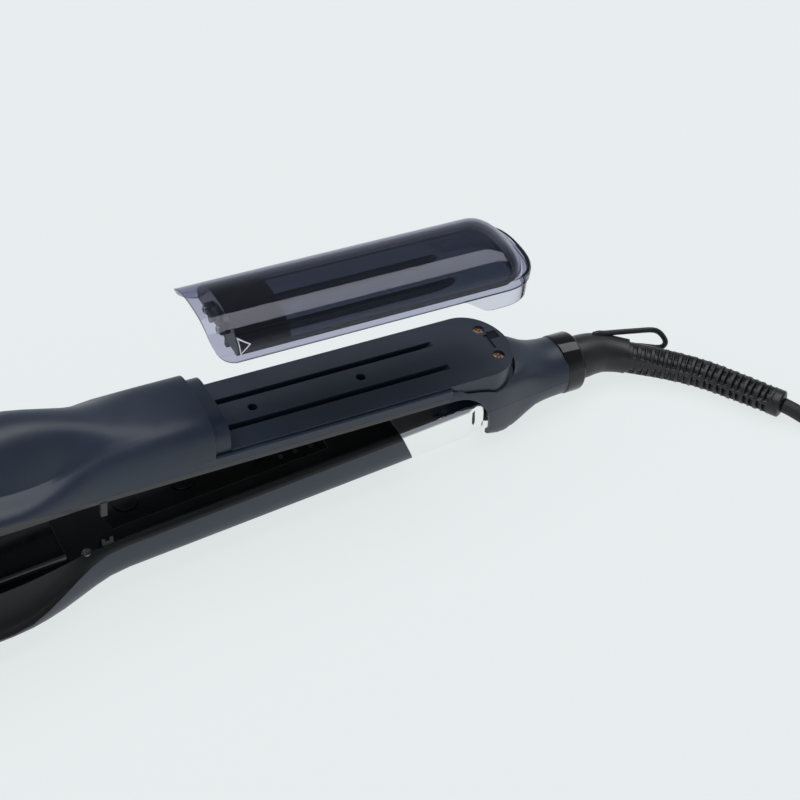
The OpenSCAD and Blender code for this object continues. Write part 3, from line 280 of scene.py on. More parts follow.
class Finish:
    """A finish that makes its material once and gives the same one to every piece."""

    _made: dict = {}

    def material(self) -> Material:
        """Returns this finish's material, made on first use."""
        if self not in Finish._made:
            made = bpy.data.materials.new(self.name)
            made.use_nodes = True
            made.node_tree.nodes.clear()
            ends = {"Surface": self.shade(made.node_tree), **self.inside(made.node_tree)}
            add_node(made.node_tree, "ShaderNodeOutputMaterial", links=ends)
            Finish._made[self] = made
        return Finish._made[self]

    def inside(self, tree: NodeTree) -> dict:
        """Returns what fills the piece, if light passes through it: nothing for an opaque finish."""
        return {}

    def dress(self, obj: Object) -> Object:
        """Puts the material on every slot of an object and returns the object."""
        if not obj.material_slots:
            obj.data.materials.append(self.material())
        for place in obj.material_slots:
            place.material = self.material()
        return obj


@dataclass(frozen=True)
class MouldedPlastic(Finish):
    """Injection-moulded plastic: a fine spark-eroded grain, soft edges and a slight change of gloss."""

    name: str
    colour: str
    # Paler second colour: a painted highlight along the edges, with a little edge wear, and the random tone patches
    pale_highlight_wear_tone: str
    roughness: float = 0.45
    specular: float = 0.5
    grain_mm: float = 0.7
    grain_deep_mm: float = 0.012
    edge_mm: float = 0.25
    gloss_patch_mm: float = 22.0
    gloss_change: float = 0.05

    def shade(self, tree: NodeTree) -> NodeSocket:
        """Builds the shader: grain as bump, patches of gloss, and paler edges, a painted highlight along every edge
        with a little wear.
        """
        place = add_node(tree, "ShaderNodeTexCoord").outputs["Object"]
        patch = noise(tree, place, 1000 / self.gloss_patch_mm, 3.0)
        grain = noise(tree, place, 1000 / self.grain_mm)
        soft = add_node(tree, "ShaderNodeBevel", {"samples": 4, "Radius": self.edge_mm / 1000})
        true = add_node(tree, "ShaderNodeNewGeometry")
        turn = add_node(tree, "ShaderNodeVectorMath", {"operation": "DOT_PRODUCT"},
                        {0: soft.outputs["Normal"], 1: true.outputs["Normal"]})
        # Paler edges from the bevelled normal: a painted edge highlight, with a little wear
        edge = spread(tree, turn.outputs["Value"], 1.0, 0.86)
        tone = spread(tree, patch, 0.3, 0.7, 0.0, 0.18)
        highlight_wear_tone_share = add_node(tree, "ShaderNodeMath", {"operation": "MAXIMUM"}, {0: edge, 1: tone})
        colour = add_node(tree, "ShaderNodeMix", {"data_type": "RGBA", 6: linear(self.colour),
                                                  7: linear(self.pale_highlight_wear_tone)}, {0: highlight_wear_tone_share.outputs["Value"]})
        gloss = spread(tree, patch, 0.3, 0.7, self.roughness - self.gloss_change,
                       self.roughness + self.gloss_change)
        bump = add_node(tree, "ShaderNodeBump", {"Strength": 0.6, "Distance": self.grain_deep_mm / 1000},
                        {"Height": grain, "Normal": soft.outputs["Normal"]})
        return add_node(tree, "ShaderNodeBsdfPrincipled", {"IOR": 1.5, "Specular IOR Level": self.specular},
                        {"Base Color": colour.outputs[2], "Roughness": gloss,
                         "Normal": bump.outputs["Normal"]}).outputs["BSDF"]


@dataclass(frozen=True)
class Metal(Finish):
    """Metal with fine drawn or polishing marks: they stretch its reflections a little and vary its gloss."""

    name: str
    colour: str
    roughness: float = 0.2
    marks_mm: tuple = (6.0, 0.3, 0.3)
    marks_deep_mm: float = 0.002
    edge_mm: float = 0.12

    def shade(self, tree: NodeTree) -> NodeSocket:
        """Builds the shader: noise drawn out along one axis makes the marks, in bump and in roughness."""
        place = add_node(tree, "ShaderNodeTexCoord").outputs["Object"]
        drawn = add_node(tree, "ShaderNodeMapping", {"Scale": tuple(1000 / s for s in self.marks_mm)},
                         {"Vector": place})
        marks = noise(tree, drawn.outputs["Vector"], 1.0, 4.0)
        gloss = spread(tree, marks, 0.3, 0.7, self.roughness * 0.75, self.roughness * 1.3)
        soft = add_node(tree, "ShaderNodeBevel", {"samples": 4, "Radius": self.edge_mm / 1000})
        bump = add_node(tree, "ShaderNodeBump", {"Strength": 0.4, "Distance": self.marks_deep_mm / 1000},
                        {"Height": marks, "Normal": soft.outputs["Normal"]})
        return add_node(tree, "ShaderNodeBsdfPrincipled", {"Base Color": linear(self.colour), "Metallic": 1.0},
                        {"Roughness": gloss, "Normal": bump.outputs["Normal"]}).outputs["BSDF"]


@dataclass(frozen=True)
class TintedClear(Finish):
    """Clear moulded SAN with a smoky tint in its mass: a long way through it, as along an edge, is darker."""

    name: str
    passes: tuple
    wall_mm: float
    roughness: float = 0.0
    haze_mm: float = 30.0

    def shade(self, tree: NodeTree) -> NodeSocket:
        """Builds the shader: clear glass with a trace of haze, which lets lamp light through its own shadow."""
        place = add_node(tree, "ShaderNodeTexCoord").outputs["Object"]
        haze = spread(tree, noise(tree, place, 1000 / self.haze_mm), 0.4, 0.7, self.roughness,
                      self.roughness + 0.015)
        glass = add_node(tree, "ShaderNodeBsdfPrincipled",
                         {"Base Color": linear("#ffffff"), "IOR": 1.45, "Transmission Weight": 1.0},
                         {"Roughness": haze})
        clear = add_node(tree, "ShaderNodeBsdfTransparent", {"Color": linear("#ffffff")})
        ray = add_node(tree, "ShaderNodeLightPath")
        return add_node(tree, "ShaderNodeMixShader",
                        links={0: ray.outputs["Is Shadow Ray"], 1: glass.outputs["BSDF"],
                               2: clear.outputs["BSDF"]}).outputs["Shader"]

    def inside(self, tree: NodeTree) -> dict:
        """Builds the tint: absorption such that one wall, crossed squarely, lets the given shares of light pass.

        The share that passes falls off exponentially with the way through, so the absorption per metre is minus the
        logarithm of the share, divided by the wall.
        """
        loss = -np.log(self.passes) / (self.wall_mm / 1000)
        dense = float(loss.max()) * 1.2
        tint = add_node(tree, "ShaderNodeVolumeAbsorption", {"Color": (*(1 - loss / dense).tolist(), 1.0),
                                                             "Density": dense})
        return {"Volume": tint.outputs["Volume"]}


@dataclass(frozen=True)
class SoftPvc(Finish):
    """Soft PVC of the cord's jacket: low gloss, faint extrusion lines along it and a little dust in its tone."""

    name: str
    colour: str
    dusty: str
    roughness: float = 0.55
    line_mm: float = 0.5
    patch_mm: float = 9.0
    specular: float = 0.4

    def shade(self, tree: NodeTree) -> NodeSocket:
        """Builds the shader: stretched noise on the UV map, long along the cord, gives lines and patches."""
        flat = add_node(tree, "ShaderNodeTexCoord").outputs["UV"]
        drawn = add_node(tree, "ShaderNodeMapping", {"Scale": (60.0, 1000 / self.line_mm, 1.0)}, {"Vector": flat})
        lines = noise(tree, drawn.outputs["Vector"], 1.0)
        dust = spread(tree, noise(tree, flat, 1000 / self.patch_mm, 3.0), 0.45, 0.8, 0.0, 0.6)
        colour = add_node(tree, "ShaderNodeMix", {"data_type": "RGBA", 6: linear(self.colour),
                                                  7: linear(self.dusty)}, {0: dust})
        bump = add_node(tree, "ShaderNodeBump", {"Strength": 0.5, "Distance": 0.00003},
                        {"Height": lines})
        return add_node(tree, "ShaderNodeBsdfPrincipled",
                        {"Roughness": self.roughness, "Specular IOR Level": self.specular, "IOR": 1.5},
                        {"Base Color": colour.outputs[2], "Normal": bump.outputs["Normal"]}).outputs["BSDF"]


# The second colour of each moulded finish is its paler edge and tone colour: a painted edge highlight with a little
# wear, and random tone patches
# Navy ABS with a satin paint: soft broad highlights and a blue-grey cast
NAVY = MouldedPlastic("satin_painted_abs", "#1c2736", "#36435a", roughness=0.40, specular=0.5)
# Black glass-filled nylon of the inner frames: low gloss, near black
FRAME_BLACK = MouldedPlastic("black_nylon_frame", "#070708", "#1c1b1b", roughness=0.42, specular=0.35)
# Dark grey nylon of the upper inner frame
FRAME_GREY = MouldedPlastic("grey_nylon_frame", "#38383a", "#58585b", roughness=0.5, specular=0.4)
# Gloss black ABS of the control panel and the buttons
PANEL_BLACK = MouldedPlastic("gloss_black_abs", "#08080a", "#202024", roughness=0.16, specular=0.5,
                             grain_deep_mm=0.002, gloss_change=0.03)
# Piano-black collar behind the tail: sharp window reflections
COLLAR_BLACK = MouldedPlastic("polished_black_abs", "#060607", "#18181a", roughness=0.09, specular=0.5,
                              grain_deep_mm=0.0, gloss_change=0.02)
# Black TPE of the boot and the cord guard: soft, with a dull sheen
GUARD_TPE = MouldedPlastic("black_tpe", "#0e0e0e", "#363636", roughness=0.4, specular=0.5, grain_mm=0.5,
                           grain_deep_mm=0.012, edge_mm=0.3)
# Silicone of seals and stopper: dull grey
SILICONE = MouldedPlastic("grey_silicone", "#3a3b3e", "#505155", roughness=0.6, specular=0.35)
# Smoked polycarbonate light guides: dark until lit
LENS = MouldedPlastic("smoked_polycarbonate", "#2a2b2e", "#3c3d40", roughness=0.2)
# Glass-fibre board with green solder mask
BOARD = MouldedPlastic("green_solder_mask", "#0f4a2a", "#2f7a4d", roughness=0.35, grain_mm=1.2)
# Mica and ceramic of the flat heaters
HEATER = MouldedPlastic("mica_heater", "#8a6a4a", "#a98b68", roughness=0.6, grain_mm=1.0)
# Chromed ABS cap: a clear mirror
CHROME = Metal("bright_chrome", "#fbfbfa", roughness=0.07, marks_deep_mm=0.0005)
# Spring and pin steel: grey with a drawn sheen
STEEL = Metal("drawn_steel", "#b9babd", roughness=0.25)
# Zinc and chromate screws: warm and bright
SCREW = Metal("yellow_zinc_steel", "#cfb09a", roughness=0.24)
# Ceramic coated aluminium plates: near black with a smooth sheen
PLATE = MouldedPlastic("ceramic_coated_plate", "#141416", "#3a3a3e", roughness=0.14, specular=0.6,
                       grain_mm=0.4, grain_deep_mm=0.003, gloss_change=0.03)
# Nickel plated plug pins: a warm, clear shine
NICKEL = Metal("nickel_plate", "#c9c5bb", roughness=0.16)
# Clear cover: a thin bluish wall, darkest along its edges. Smoky vessel: the dark body seen through the cover
COVER_CLEAR = TintedClear("smoky_clear_san", (0.50, 0.51, 0.62), 0.9)
VESSEL_CLEAR = TintedClear("dark_smoky_san", (0.30, 0.32, 0.365), 1.28, roughness=0.01)
# Jacket of the mains cord: black with a low sheen and faint lines along it
CORD_PVC = SoftPvc("cord_pvc", "#1c1c1e", "#2c2c2e")
# Polyamide hook-and-loop strap of the cord tie: dull black
STRAP = SoftPvc("woven_strap", "#101012", "#232326", roughness=0.8, line_mm=0.4)
# White marking ink: flat and pale against the clear wall
INK = MouldedPlastic("white_marking_ink", "#e4e4ea", "#f2f2f5", roughness=0.5)


@dataclass
class Studio:
    """Camera, pale floor and soft lights of the photograph."""

    camera_mm: tuple = (-155.86, -459.4, 543.95)
    azimuth: float = -27.88
    elevation: float = 44.83
    lens_mm: float = 80.49
    backdrop: str = "#eaeff0"

    def build(self) -> None:
        """Makes the camera, the floor, the lamps and the world, and sets plain colour management."""
        scene = bpy.context.scene
        scene.view_settings.view_transform = "Standard"
        self.camera(scene)
        self.floor()
        self.lamp("overhead softbox", (0.5, 0.225, 1.58), (0.5, 0.0, 0.0), (3.2, 1.1), 26.0)
        self.lamp("front fill", (-0.9, -1.4, 0.7), (0.05, 0.0, 0.05), (0.9, 0.7), 3.0)
        self.world(scene)

    def camera(self, scene: Scene) -> None:
        """Places the camera at the photograph's viewing point."""
        data = bpy.data.cameras.new("camera")
        data.lens, data.sensor_width = self.lens_mm, 36.0
        data.clip_start, data.clip_end = 0.05, 50.0
        eye = bpy.data.objects.new("camera", data)
        eye.location = [v / 1000 for v in self.camera_mm]
        eye.rotation_euler = (math.radians(90 - self.elevation), 0.0, math.radians(self.azimuth))
        scene.collection.objects.link(eye)
        scene.camera = eye

    def floor(self) -> Object:
        """Returns a wide level sheet of matt pale paper."""
        grid = np.stack(np.meshgrid(np.linspace(-6, 6, 9), np.linspace(-6, 6, 9), [0.0], indexing="ij"),
                        -1).reshape(9, 9, 3)
        sheet = surface("floor", grid, closed=False, caps=False)
        return MattPaper("pale_backdrop_paper", self.backdrop).dress(sheet)

    def lamp(self, name: str, at: tuple, towards: tuple, size: tuple, watts: float) -> None:
        """Adds one rectangular softbox that faces a point."""
        data = bpy.data.lights.new(name, "AREA")
        data.shape, data.size, data.size_y, data.energy = "RECTANGLE", size[0], size[1], watts
        lamp = bpy.data.objects.new(name, data)
        way = np.subtract(towards, at)
        flat = math.hypot(way[0], way[1])
        lamp.location = at
        lamp.rotation_euler = (math.atan2(flat, -way[2]), 0.0, math.atan2(way[0], -way[1]) + math.pi)
        bpy.context.scene.collection.objects.link(lamp)

    def world(self, scene: Scene) -> None:
        """Lights the scene with a room that is pale at the horizon and greyer overhead."""
        world = bpy.data.worlds.new("studio")
        world.use_nodes = True
        tree = world.node_tree
        tree.nodes.clear()
        way = add_node(tree, "ShaderNodeTexCoord").outputs["Generated"]
        part = add_node(tree, "ShaderNodeSeparateXYZ", links={0: way})
        high = add_node(tree, "ShaderNodeMapRange", {"interpolation_type": "SMOOTHSTEP", "From Min": 0.02,
                                                     "From Max": 0.55}, {"Value": part.outputs["Z"]})
        tone = add_node(tree, "ShaderNodeMix", {"data_type": "RGBA", 6: linear("#c4c9cc"),
                                                7: linear("#7b8088")}, {0: high.outputs["Result"]})
        room = add_node(tree, "ShaderNodeBackground", {"Strength": 1.0}, {"Color": tone.outputs[2]})
        seen = add_node(tree, "ShaderNodeBackground", {"Color": linear(self.backdrop), "Strength": 1.0})
        ray = add_node(tree, "ShaderNodeLightPath")
        light = add_node(tree, "ShaderNodeMixShader",
                         links={0: ray.outputs["Is Camera Ray"], 1: room.outputs["Background"],
                                2: seen.outputs["Background"]})
        add_node(tree, "ShaderNodeOutputWorld", links={"Surface": light.outputs["Shader"]})
        scene.world = world


@dataclass(frozen=True)
class MattPaper(Finish):
    """Seamless matt backdrop paper: an even pale tone that keeps a very faint shadow."""

    name: str
    colour: str
    fibre_mm: float = 3.0
    even: float = 0.86

    def shade(self, tree: NodeTree) -> NodeSocket:
        """Builds the shader: where it is seen, most of it shines evenly and a small part is lit paper."""
        place = add_node(tree, "ShaderNodeTexCoord").outputs["Object"]
        fibre = noise(tree, place, 1000 / self.fibre_mm)
        bump = add_node(tree, "ShaderNodeBump", {"Strength": 0.05, "Distance": 0.00005},
                        {"Height": fibre})
        paper = add_node(tree, "ShaderNodeBsdfPrincipled", {"Base Color": linear(self.colour), "Roughness": 0.95,
                                                            "Specular IOR Level": 0.1},
                         {"Normal": bump.outputs["Normal"]})
        shine = add_node(tree, "ShaderNodeEmission", {"Color": linear(self.colour), "Strength": 1.0})
        ray = add_node(tree, "ShaderNodeLightPath")
        bent = add_node(tree, "ShaderNodeMath", {"operation": "MAXIMUM"},
                        {0: ray.outputs["Is Glossy Ray"], 1: ray.outputs["Is Transmission Ray"]})
        seen = add_node(tree, "ShaderNodeMath", {"operation": "MAXIMUM"},
                        {0: ray.outputs["Is Camera Ray"], 1: bent.outputs["Value"]})
        share = add_node(tree, "ShaderNodeMath", {"operation": "MULTIPLY", 1: self.even},
                         {0: seen.outputs["Value"]})
        return add_node(tree, "ShaderNodeMixShader",
                        links={0: share.outputs["Value"], 1: paper.outputs["BSDF"],
                               2: shine.outputs["Emission"]}).outputs["Shader"]


def stands_for(obj: Object, finish: Finish, body: str, *nodes: str) -> Object:
    """Dresses a new piece, makes it ride on a body and lets it stand for the solids of the frame.

    Args:
        obj: The new piece.
        finish: Its finish.
        body: The body that it moves with.
        nodes: The nodes that it stands for.

    Returns:
        The piece.
    """
    finish.dress(obj)
    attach(obj, body)
    if nodes:
        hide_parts(*nodes)
    LOG.info("%s stands for %s on %s", obj.name, ", ".join(nodes) or "itself", body)
    return obj


@dataclass
class MainsLead:
    """The cord side: swivel boot, ribbed guard, hanging loop, cord, its folded length, tie and plug."""

    cord_d: float = 6.5
    boot_d: float = 18.6
    guard_d: float = 13.6
    boot_path: list = field(default_factory=lambda: [
        [45.3, 0, -4.95], [50, 0, -5.4], [55, 0, -6], [60.5, -1, -6.8], [66, -3.8, -7.6], [70, -6.5, -8.2]])
    guard_path: list = field(default_factory=lambda: [
        [70, -6.5, -8.2], [82, -15.6, -9.8], [94.7, -28.4, -10.8], [105.7, -45.1, -11], [114.7, -60.4, -11]])
    loop_path: list = field(default_factory=lambda: [
        [58.2, 2.9, 2.6], [60.8, 2.5, 2.5], [63.4, 1.9, 1.8], [70.6, 0.6, 0.5], [78.2, -0.6, -1.1],
        [85.4, -1.8, -2.7], [88.6, -3, -4.2], [90.6, -4.6, -7], [91.2, -5.6, -10], [89, -4.6, -12.4],
        [82, 0, -12.2], [72, 5.2, -11.2], [62, 9, -10], [55.9, 9.5, -9.3]])
    cord_path: list = field(default_factory=lambda: [
        [114.7, -60.4, -11], [116.8, -64, -11.5], [119, -68, -12.4], [121.6, -72.4, -13.4], [125, -78, -14.2],
        [129.4, -84.4, -14.3], [134.6, -90.2, -14.3], [140.6, -95.2, -14.3], [147.4, -98.8, -14.3],
        [154.6, -100.6, -14.3], [160, -101, -14.3]])
    hank_centres: tuple = (170.0, 268.0)
    hank_y: float = -75.0
    turn_radii: tuple = (26.0, 26.0, 19.5, 19.5, 26.0, 19.5)
    turn_layers: tuple = (0, 0, 0, 1, 1, 2)
    plug_tail: float = 216.0
    plug_high: float = 26.32
    slots: int = 21
    spine_turn: float = 26.0
    spine_twist: float = -5.0
    boot_end: float = 15.2
    collar_r: float = 13.0
    collar_bore: float = 9.55
    collar_rise: float = 0.42
    collar_lean: float = 0.085
    loop_r: float = 1.2
    loop_thinner: float = 0.1
    guard_cap: float = 4.6
    tie_half: float = 29.25
    tie_high: float = 19.5

    def build(self) -> None:
        self.collar()
        swivel = self.boot()
        guard = self.guard()
        loop = self.loop()
        plug = self.plug()
        tie = self.tie()
        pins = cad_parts["plug_pins"]
        soften(NICKEL.dress(pins))
        path = self.route()
        sides = 20
        flex = surface("mains_cord", tube(path, np.full(len(path), self.cord_d / 2000), sides))
        stands_for(flex, CORD_PVC, "cord", "power_cord", "cord_hank")

    def route(self) -> np.ndarray:
        """Works out the cord's middle line, in metres in the row frame.

        It follows the chosen points to the hank. Each turn of the hank is a near run, a half circle, a far run
        and a half circle, and a change of radius or layer is eased along the near run. A last bend rises to the
        plug.

        Returns:
            Points along the whole cord.
        """
        free = spline(self.cord_path, 5)[:-1]
        floor = -HINGE[2] + self.cord_d / 2
        x0, x1 = self.hank_centres
        pieces = [free]
        for k in range(1, len(self.turn_radii)):
            r0, r1 = self.turn_radii[k - 1:k + 1]
            z0, z1 = (floor + self.cord_d * n for n in self.turn_layers[k - 1:k + 1])
            t = np.linspace(0, 1, 14, endpoint=False)
            s = ease(0, 1, t)
            q = np.radians(np.linspace(-90, 90, 24, endpoint=False))
            near = np.stack([mix(x0, x1, t), self.hank_y - mix(r0, r1, s), mix(z0, z1, s)], -1)
            far_bend = np.stack([x1 + r1 * np.cos(q), self.hank_y + r1 * np.sin(q), np.full(24, z1)], -1)
            far = np.stack([mix(x1, x0, t), np.full(14, self.hank_y + r1), np.full(14, z1)], -1)
            near_bend = np.stack([x0 - r1 * np.cos(q), self.hank_y - r1 * np.sin(q), np.full(24, z1)], -1)
            pieces += [near, far_bend, far, near_bend]
        top = floor + self.cord_d * self.turn_layers[-1]
        t = np.linspace(0, 1, 30)
        last = np.stack([mix(x0, self.plug_tail, t), self.hank_y - self.turn_radii[-1] * (1 - ease(0, 1, t)),
                         mix(top, self.plug_high - HINGE[2], ease(0.1, 0.92, t))], -1)
        pieces.append(last)
        return to_frame(np.vstack(pieces), Place.LOWER)

    def boot(self) -> Object:
        """Makes the smooth bent boot, whose radius eases from the collar's bore to the guard, and its stem."""
        path = spline(self.boot_path, 12)
        t = along(path) / along(path)[-1]
        radius = mix(self.boot_d / 2 + 0.25, self.boot_end / 2, ease(0.1, 1.0, t))
        path = path + np.array([0, 0, 0.8]) * (1 - 0.4 * ease(0.3, 1.0, t))[:, None]
        stem = np.array([[30.9, 0, 0], [38, 0, 0], [40.2, 0, 0.3], [40.25, 0, 0.3], [45.6, 0, 0.6]])
        turned = to_frame(stem, Place.UPPER) * 1000 - HINGE
        path = np.vstack([turned, path[1:]])
        radius = np.concatenate([[6.0, 6.0, 6.0, self.boot_d / 2 - 0.1, self.boot_d / 2 - 0.1], radius[1:]])
        return stands_for(surface("swivel_boot_skin", to_frame(tube(path, radius, 64), Place.LOWER)),
                          GUARD_TPE, "cord", "swivel_boot")

    def collar(self) -> Object:
        """Makes the polished collar behind the tail, turned about the tail's axis with small rounds at its edges.

        Its front edge leans forward at the top, as the tail's end does, by a share of the height over the middle.
        """
        bore, r = self.collar_bore, self.collar_r
        profile = np.array([[41.0, bore], [45.0, bore], [45.2, bore + 0.15], [45.2, r - 0.7], [45.1, r - 0.4],
                            [44.9, r - 0.18], [44.6, r - 0.05], [44.2, r], [38.7, r], [38.4, r - 0.05],
                            [38.15, r - 0.18], [38.02, r - 0.4], [38.0, r - 0.8], [38.0, 6.3], [40.2, 6.3],
                            [40.2, bore], [41.0, bore]])
        q = np.linspace(0, 2 * np.pi, 160, endpoint=False)
        high = self.collar_rise + profile[:, 1:] * np.sin(q)
        front = (profile[:, :1] < 40) & (profile[:, 1:] > 9)
        lean = np.where(front, -self.collar_lean * (high + r - 0.4), 0.0)
        grid = np.stack([profile[:, :1] + lean, profile[:, 1:] * np.cos(q), high], -1)
        obj = surface("collar_polished", to_frame(grid, Place.UPPER), caps=False)
        soften(obj, 50.0, 0.0)
        return stands_for(obj, COLLAR_BLACK, "upper_arm", "collar_ring")

    def guard(self) -> Object:
        """Makes the ribbed guard: a tapered tube with four rows of slots pressed into it.

        Along the guard every rib is followed by a slot, and each second slot lies a little nearer to the one
        before, so the slots look paired. Round it the slots stop at four spines. A slot's depth is a flat-bottomed
        wave along the guard times a window round it. The first slots are short and the last stretch is plain.
        """
        path = spline(self.guard_path, 190)
        s = along(path)
        length = s[-1]
        t = s / length
        sides = 144
        turn = np.degrees(2 * np.pi * np.arange(sides) / sides)
        end_round = np.sqrt(np.clip(1 - np.clip((s - length + 1.2) / 1.35, 0, 1) ** 2, 0.05, 1))
        outer = mix(self.guard_d / 2, self.guard_d / 2 - 0.9, t) * end_round
        cap = self.guard_cap
        pitch = (length - cap - 2.0) / self.slots
        phase = (s - 1.6) / pitch
        cell = np.floor(phase)
        odd = cell % 2
        across = np.abs(phase - cell - 0.5 + 0.07 * (1 - 2 * odd)) * pitch
        live = (s > 1.6) & (s < length - cap)
        slot = live * (1 - ease(0.29 * pitch - 0.12, 0.29 * pitch + 0.2, across))
        spine = self.spine_turn + self.spine_twist * t
        off = np.abs((turn[None, :] - spine[:, None] + 45) % 90 - 45)
        grown = ease(0, 5, cell)[:, None]
        edge = mix(20.0, 7.5, grown) - 3.0 * odd[:, None] * grown
        window = ease(edge - 1.6, edge + 1.6, off)
        deep = mix(1.3, 2.9, grown) * slot[:, None] * window
        ring_edge = 0.25 * (1 - ease(0.0, 0.35, np.abs(s - length + cap - 0.2)))[:, None]
        grid = tube(path, outer[:, None] - deep - ring_edge, sides)
        return stands_for(surface("cord_guard_ribbed", to_frame(grid, Place.LOWER)),
                          GUARD_TPE, "cord", "cord_guard")

    def loop(self) -> Object:
        """Makes the wire hanging loop, round in section and a little thinner at its two ends, at the boot."""
        path = spline(self.loop_path, 10)
        t = along(path) / along(path)[-1]
        radius = self.loop_r - self.loop_thinner * (ease(0.05, 0.0, t) + ease(0.95, 1.0, t))
        way = np.gradient(path, axis=0)
        way /= np.linalg.norm(way, axis=1, keepdims=True)
        side = np.cross(way, [0.45, 0.8, 0.3])
        side /= np.linalg.norm(side, axis=1, keepdims=True)
        up = np.cross(side, way)
        turn = 2 * np.pi * np.arange(20) / 20
        grid = path[:, None] + radius[:, None, None] * (np.cos(turn)[None, :, None] * side[:, None]
                                                        + np.sin(turn)[None, :, None] * up[:, None])
        return stands_for(surface("hanging_loop_wire", to_frame(grid, Place.LOWER)),
                          GUARD_TPE, "loop", "hanging_loop")

    def tie(self) -> Object:
        """Makes the strap round the folded cord: a band whose section is a rounded rectangle round the bundle."""
        q = np.linspace(0, 2 * np.pi, 120, endpoint=False)
        half, tall = self.tie_half, self.tie_high
        c, s = np.cos(q), np.sin(q)
        shape = (np.abs(c) ** 7 + np.abs(s) ** 7) ** (-1 / 7)
        rings = []
        for x, grow in ((190, 0.05), (190, 0.75), (190.4, 1.1), (201.6, 1.1), (202, 0.75), (202, 0.05),
                        (190, 0.05)):
            y = self.hank_y + (half + grow) * c * shape
            z = tall / 2 + (tall / 2 + grow) * s * shape
            rings.append(np.stack([np.full_like(y, x), y, np.maximum(z, 0.02)], -1))
        grid = to_frame(np.array(rings), Place.FLOOR)
        return stands_for(surface("cord_strap", grid, caps=False, smooth=False), STRAP, "cord", "cord_tie")

    def plug(self) -> Object:
        """Makes the flat two-pin plug: rounded sections that widen along its length, with rings on its relief.

        Each section is a superellipse; its width, thickness and squareness follow the length.
        """
        knots = np.array([[0, 4.0, 4.0, 2], [24, 5.6, 5.6, 2], [25, 7.4, 6.2, 2.4], [28, 10.0, 6.7, 3],
                          [37, 14.2, 6.8, 4], [50, 16.8, 6.8, 5], [59, 17.6, 6.8, 5], [60.4, 17.2, 6.5, 5],
                          [61, 16.2, 5.9, 5]])
        x = np.concatenate([np.linspace(0, 24, 73), np.linspace(24.4, 59, 60), np.linspace(59.2, 61, 10)])
        wide, thick, square = (np.interp(x, knots[:, 0], knots[:, i]) for i in (1, 2, 3))
        rings = 0.5 * (0.5 - 0.5 * np.cos(2 * np.pi * np.clip(x - 3, 0, 18) / 3)) * (x < 21)
        grip = 0.35 * (0.5 - 0.5 * np.cos(2 * np.pi * np.clip(x - 36, 0, 12) / 2.4)) * (x > 36) * (x < 48)
        q = np.linspace(0, 2 * np.pi, 72, endpoint=False)
        c, s = np.cos(q)[None, :], np.sin(q)[None, :]
        shape = (np.abs(c) ** square[:, None] + np.abs(s) ** square[:, None]) ** (-1 / square[:, None])
        y = self.hank_y + (wide - rings - grip)[:, None] * c * shape
        z = self.plug_high + (thick - rings)[:, None] * s * shape
        grid = np.stack([np.broadcast_to((self.plug_tail + x)[:, None], y.shape), y, z], -1)
        return stands_for(surface("plug_moulding", to_frame(grid, Place.FLOOR)), GUARD_TPE, "cord", "plug_body")


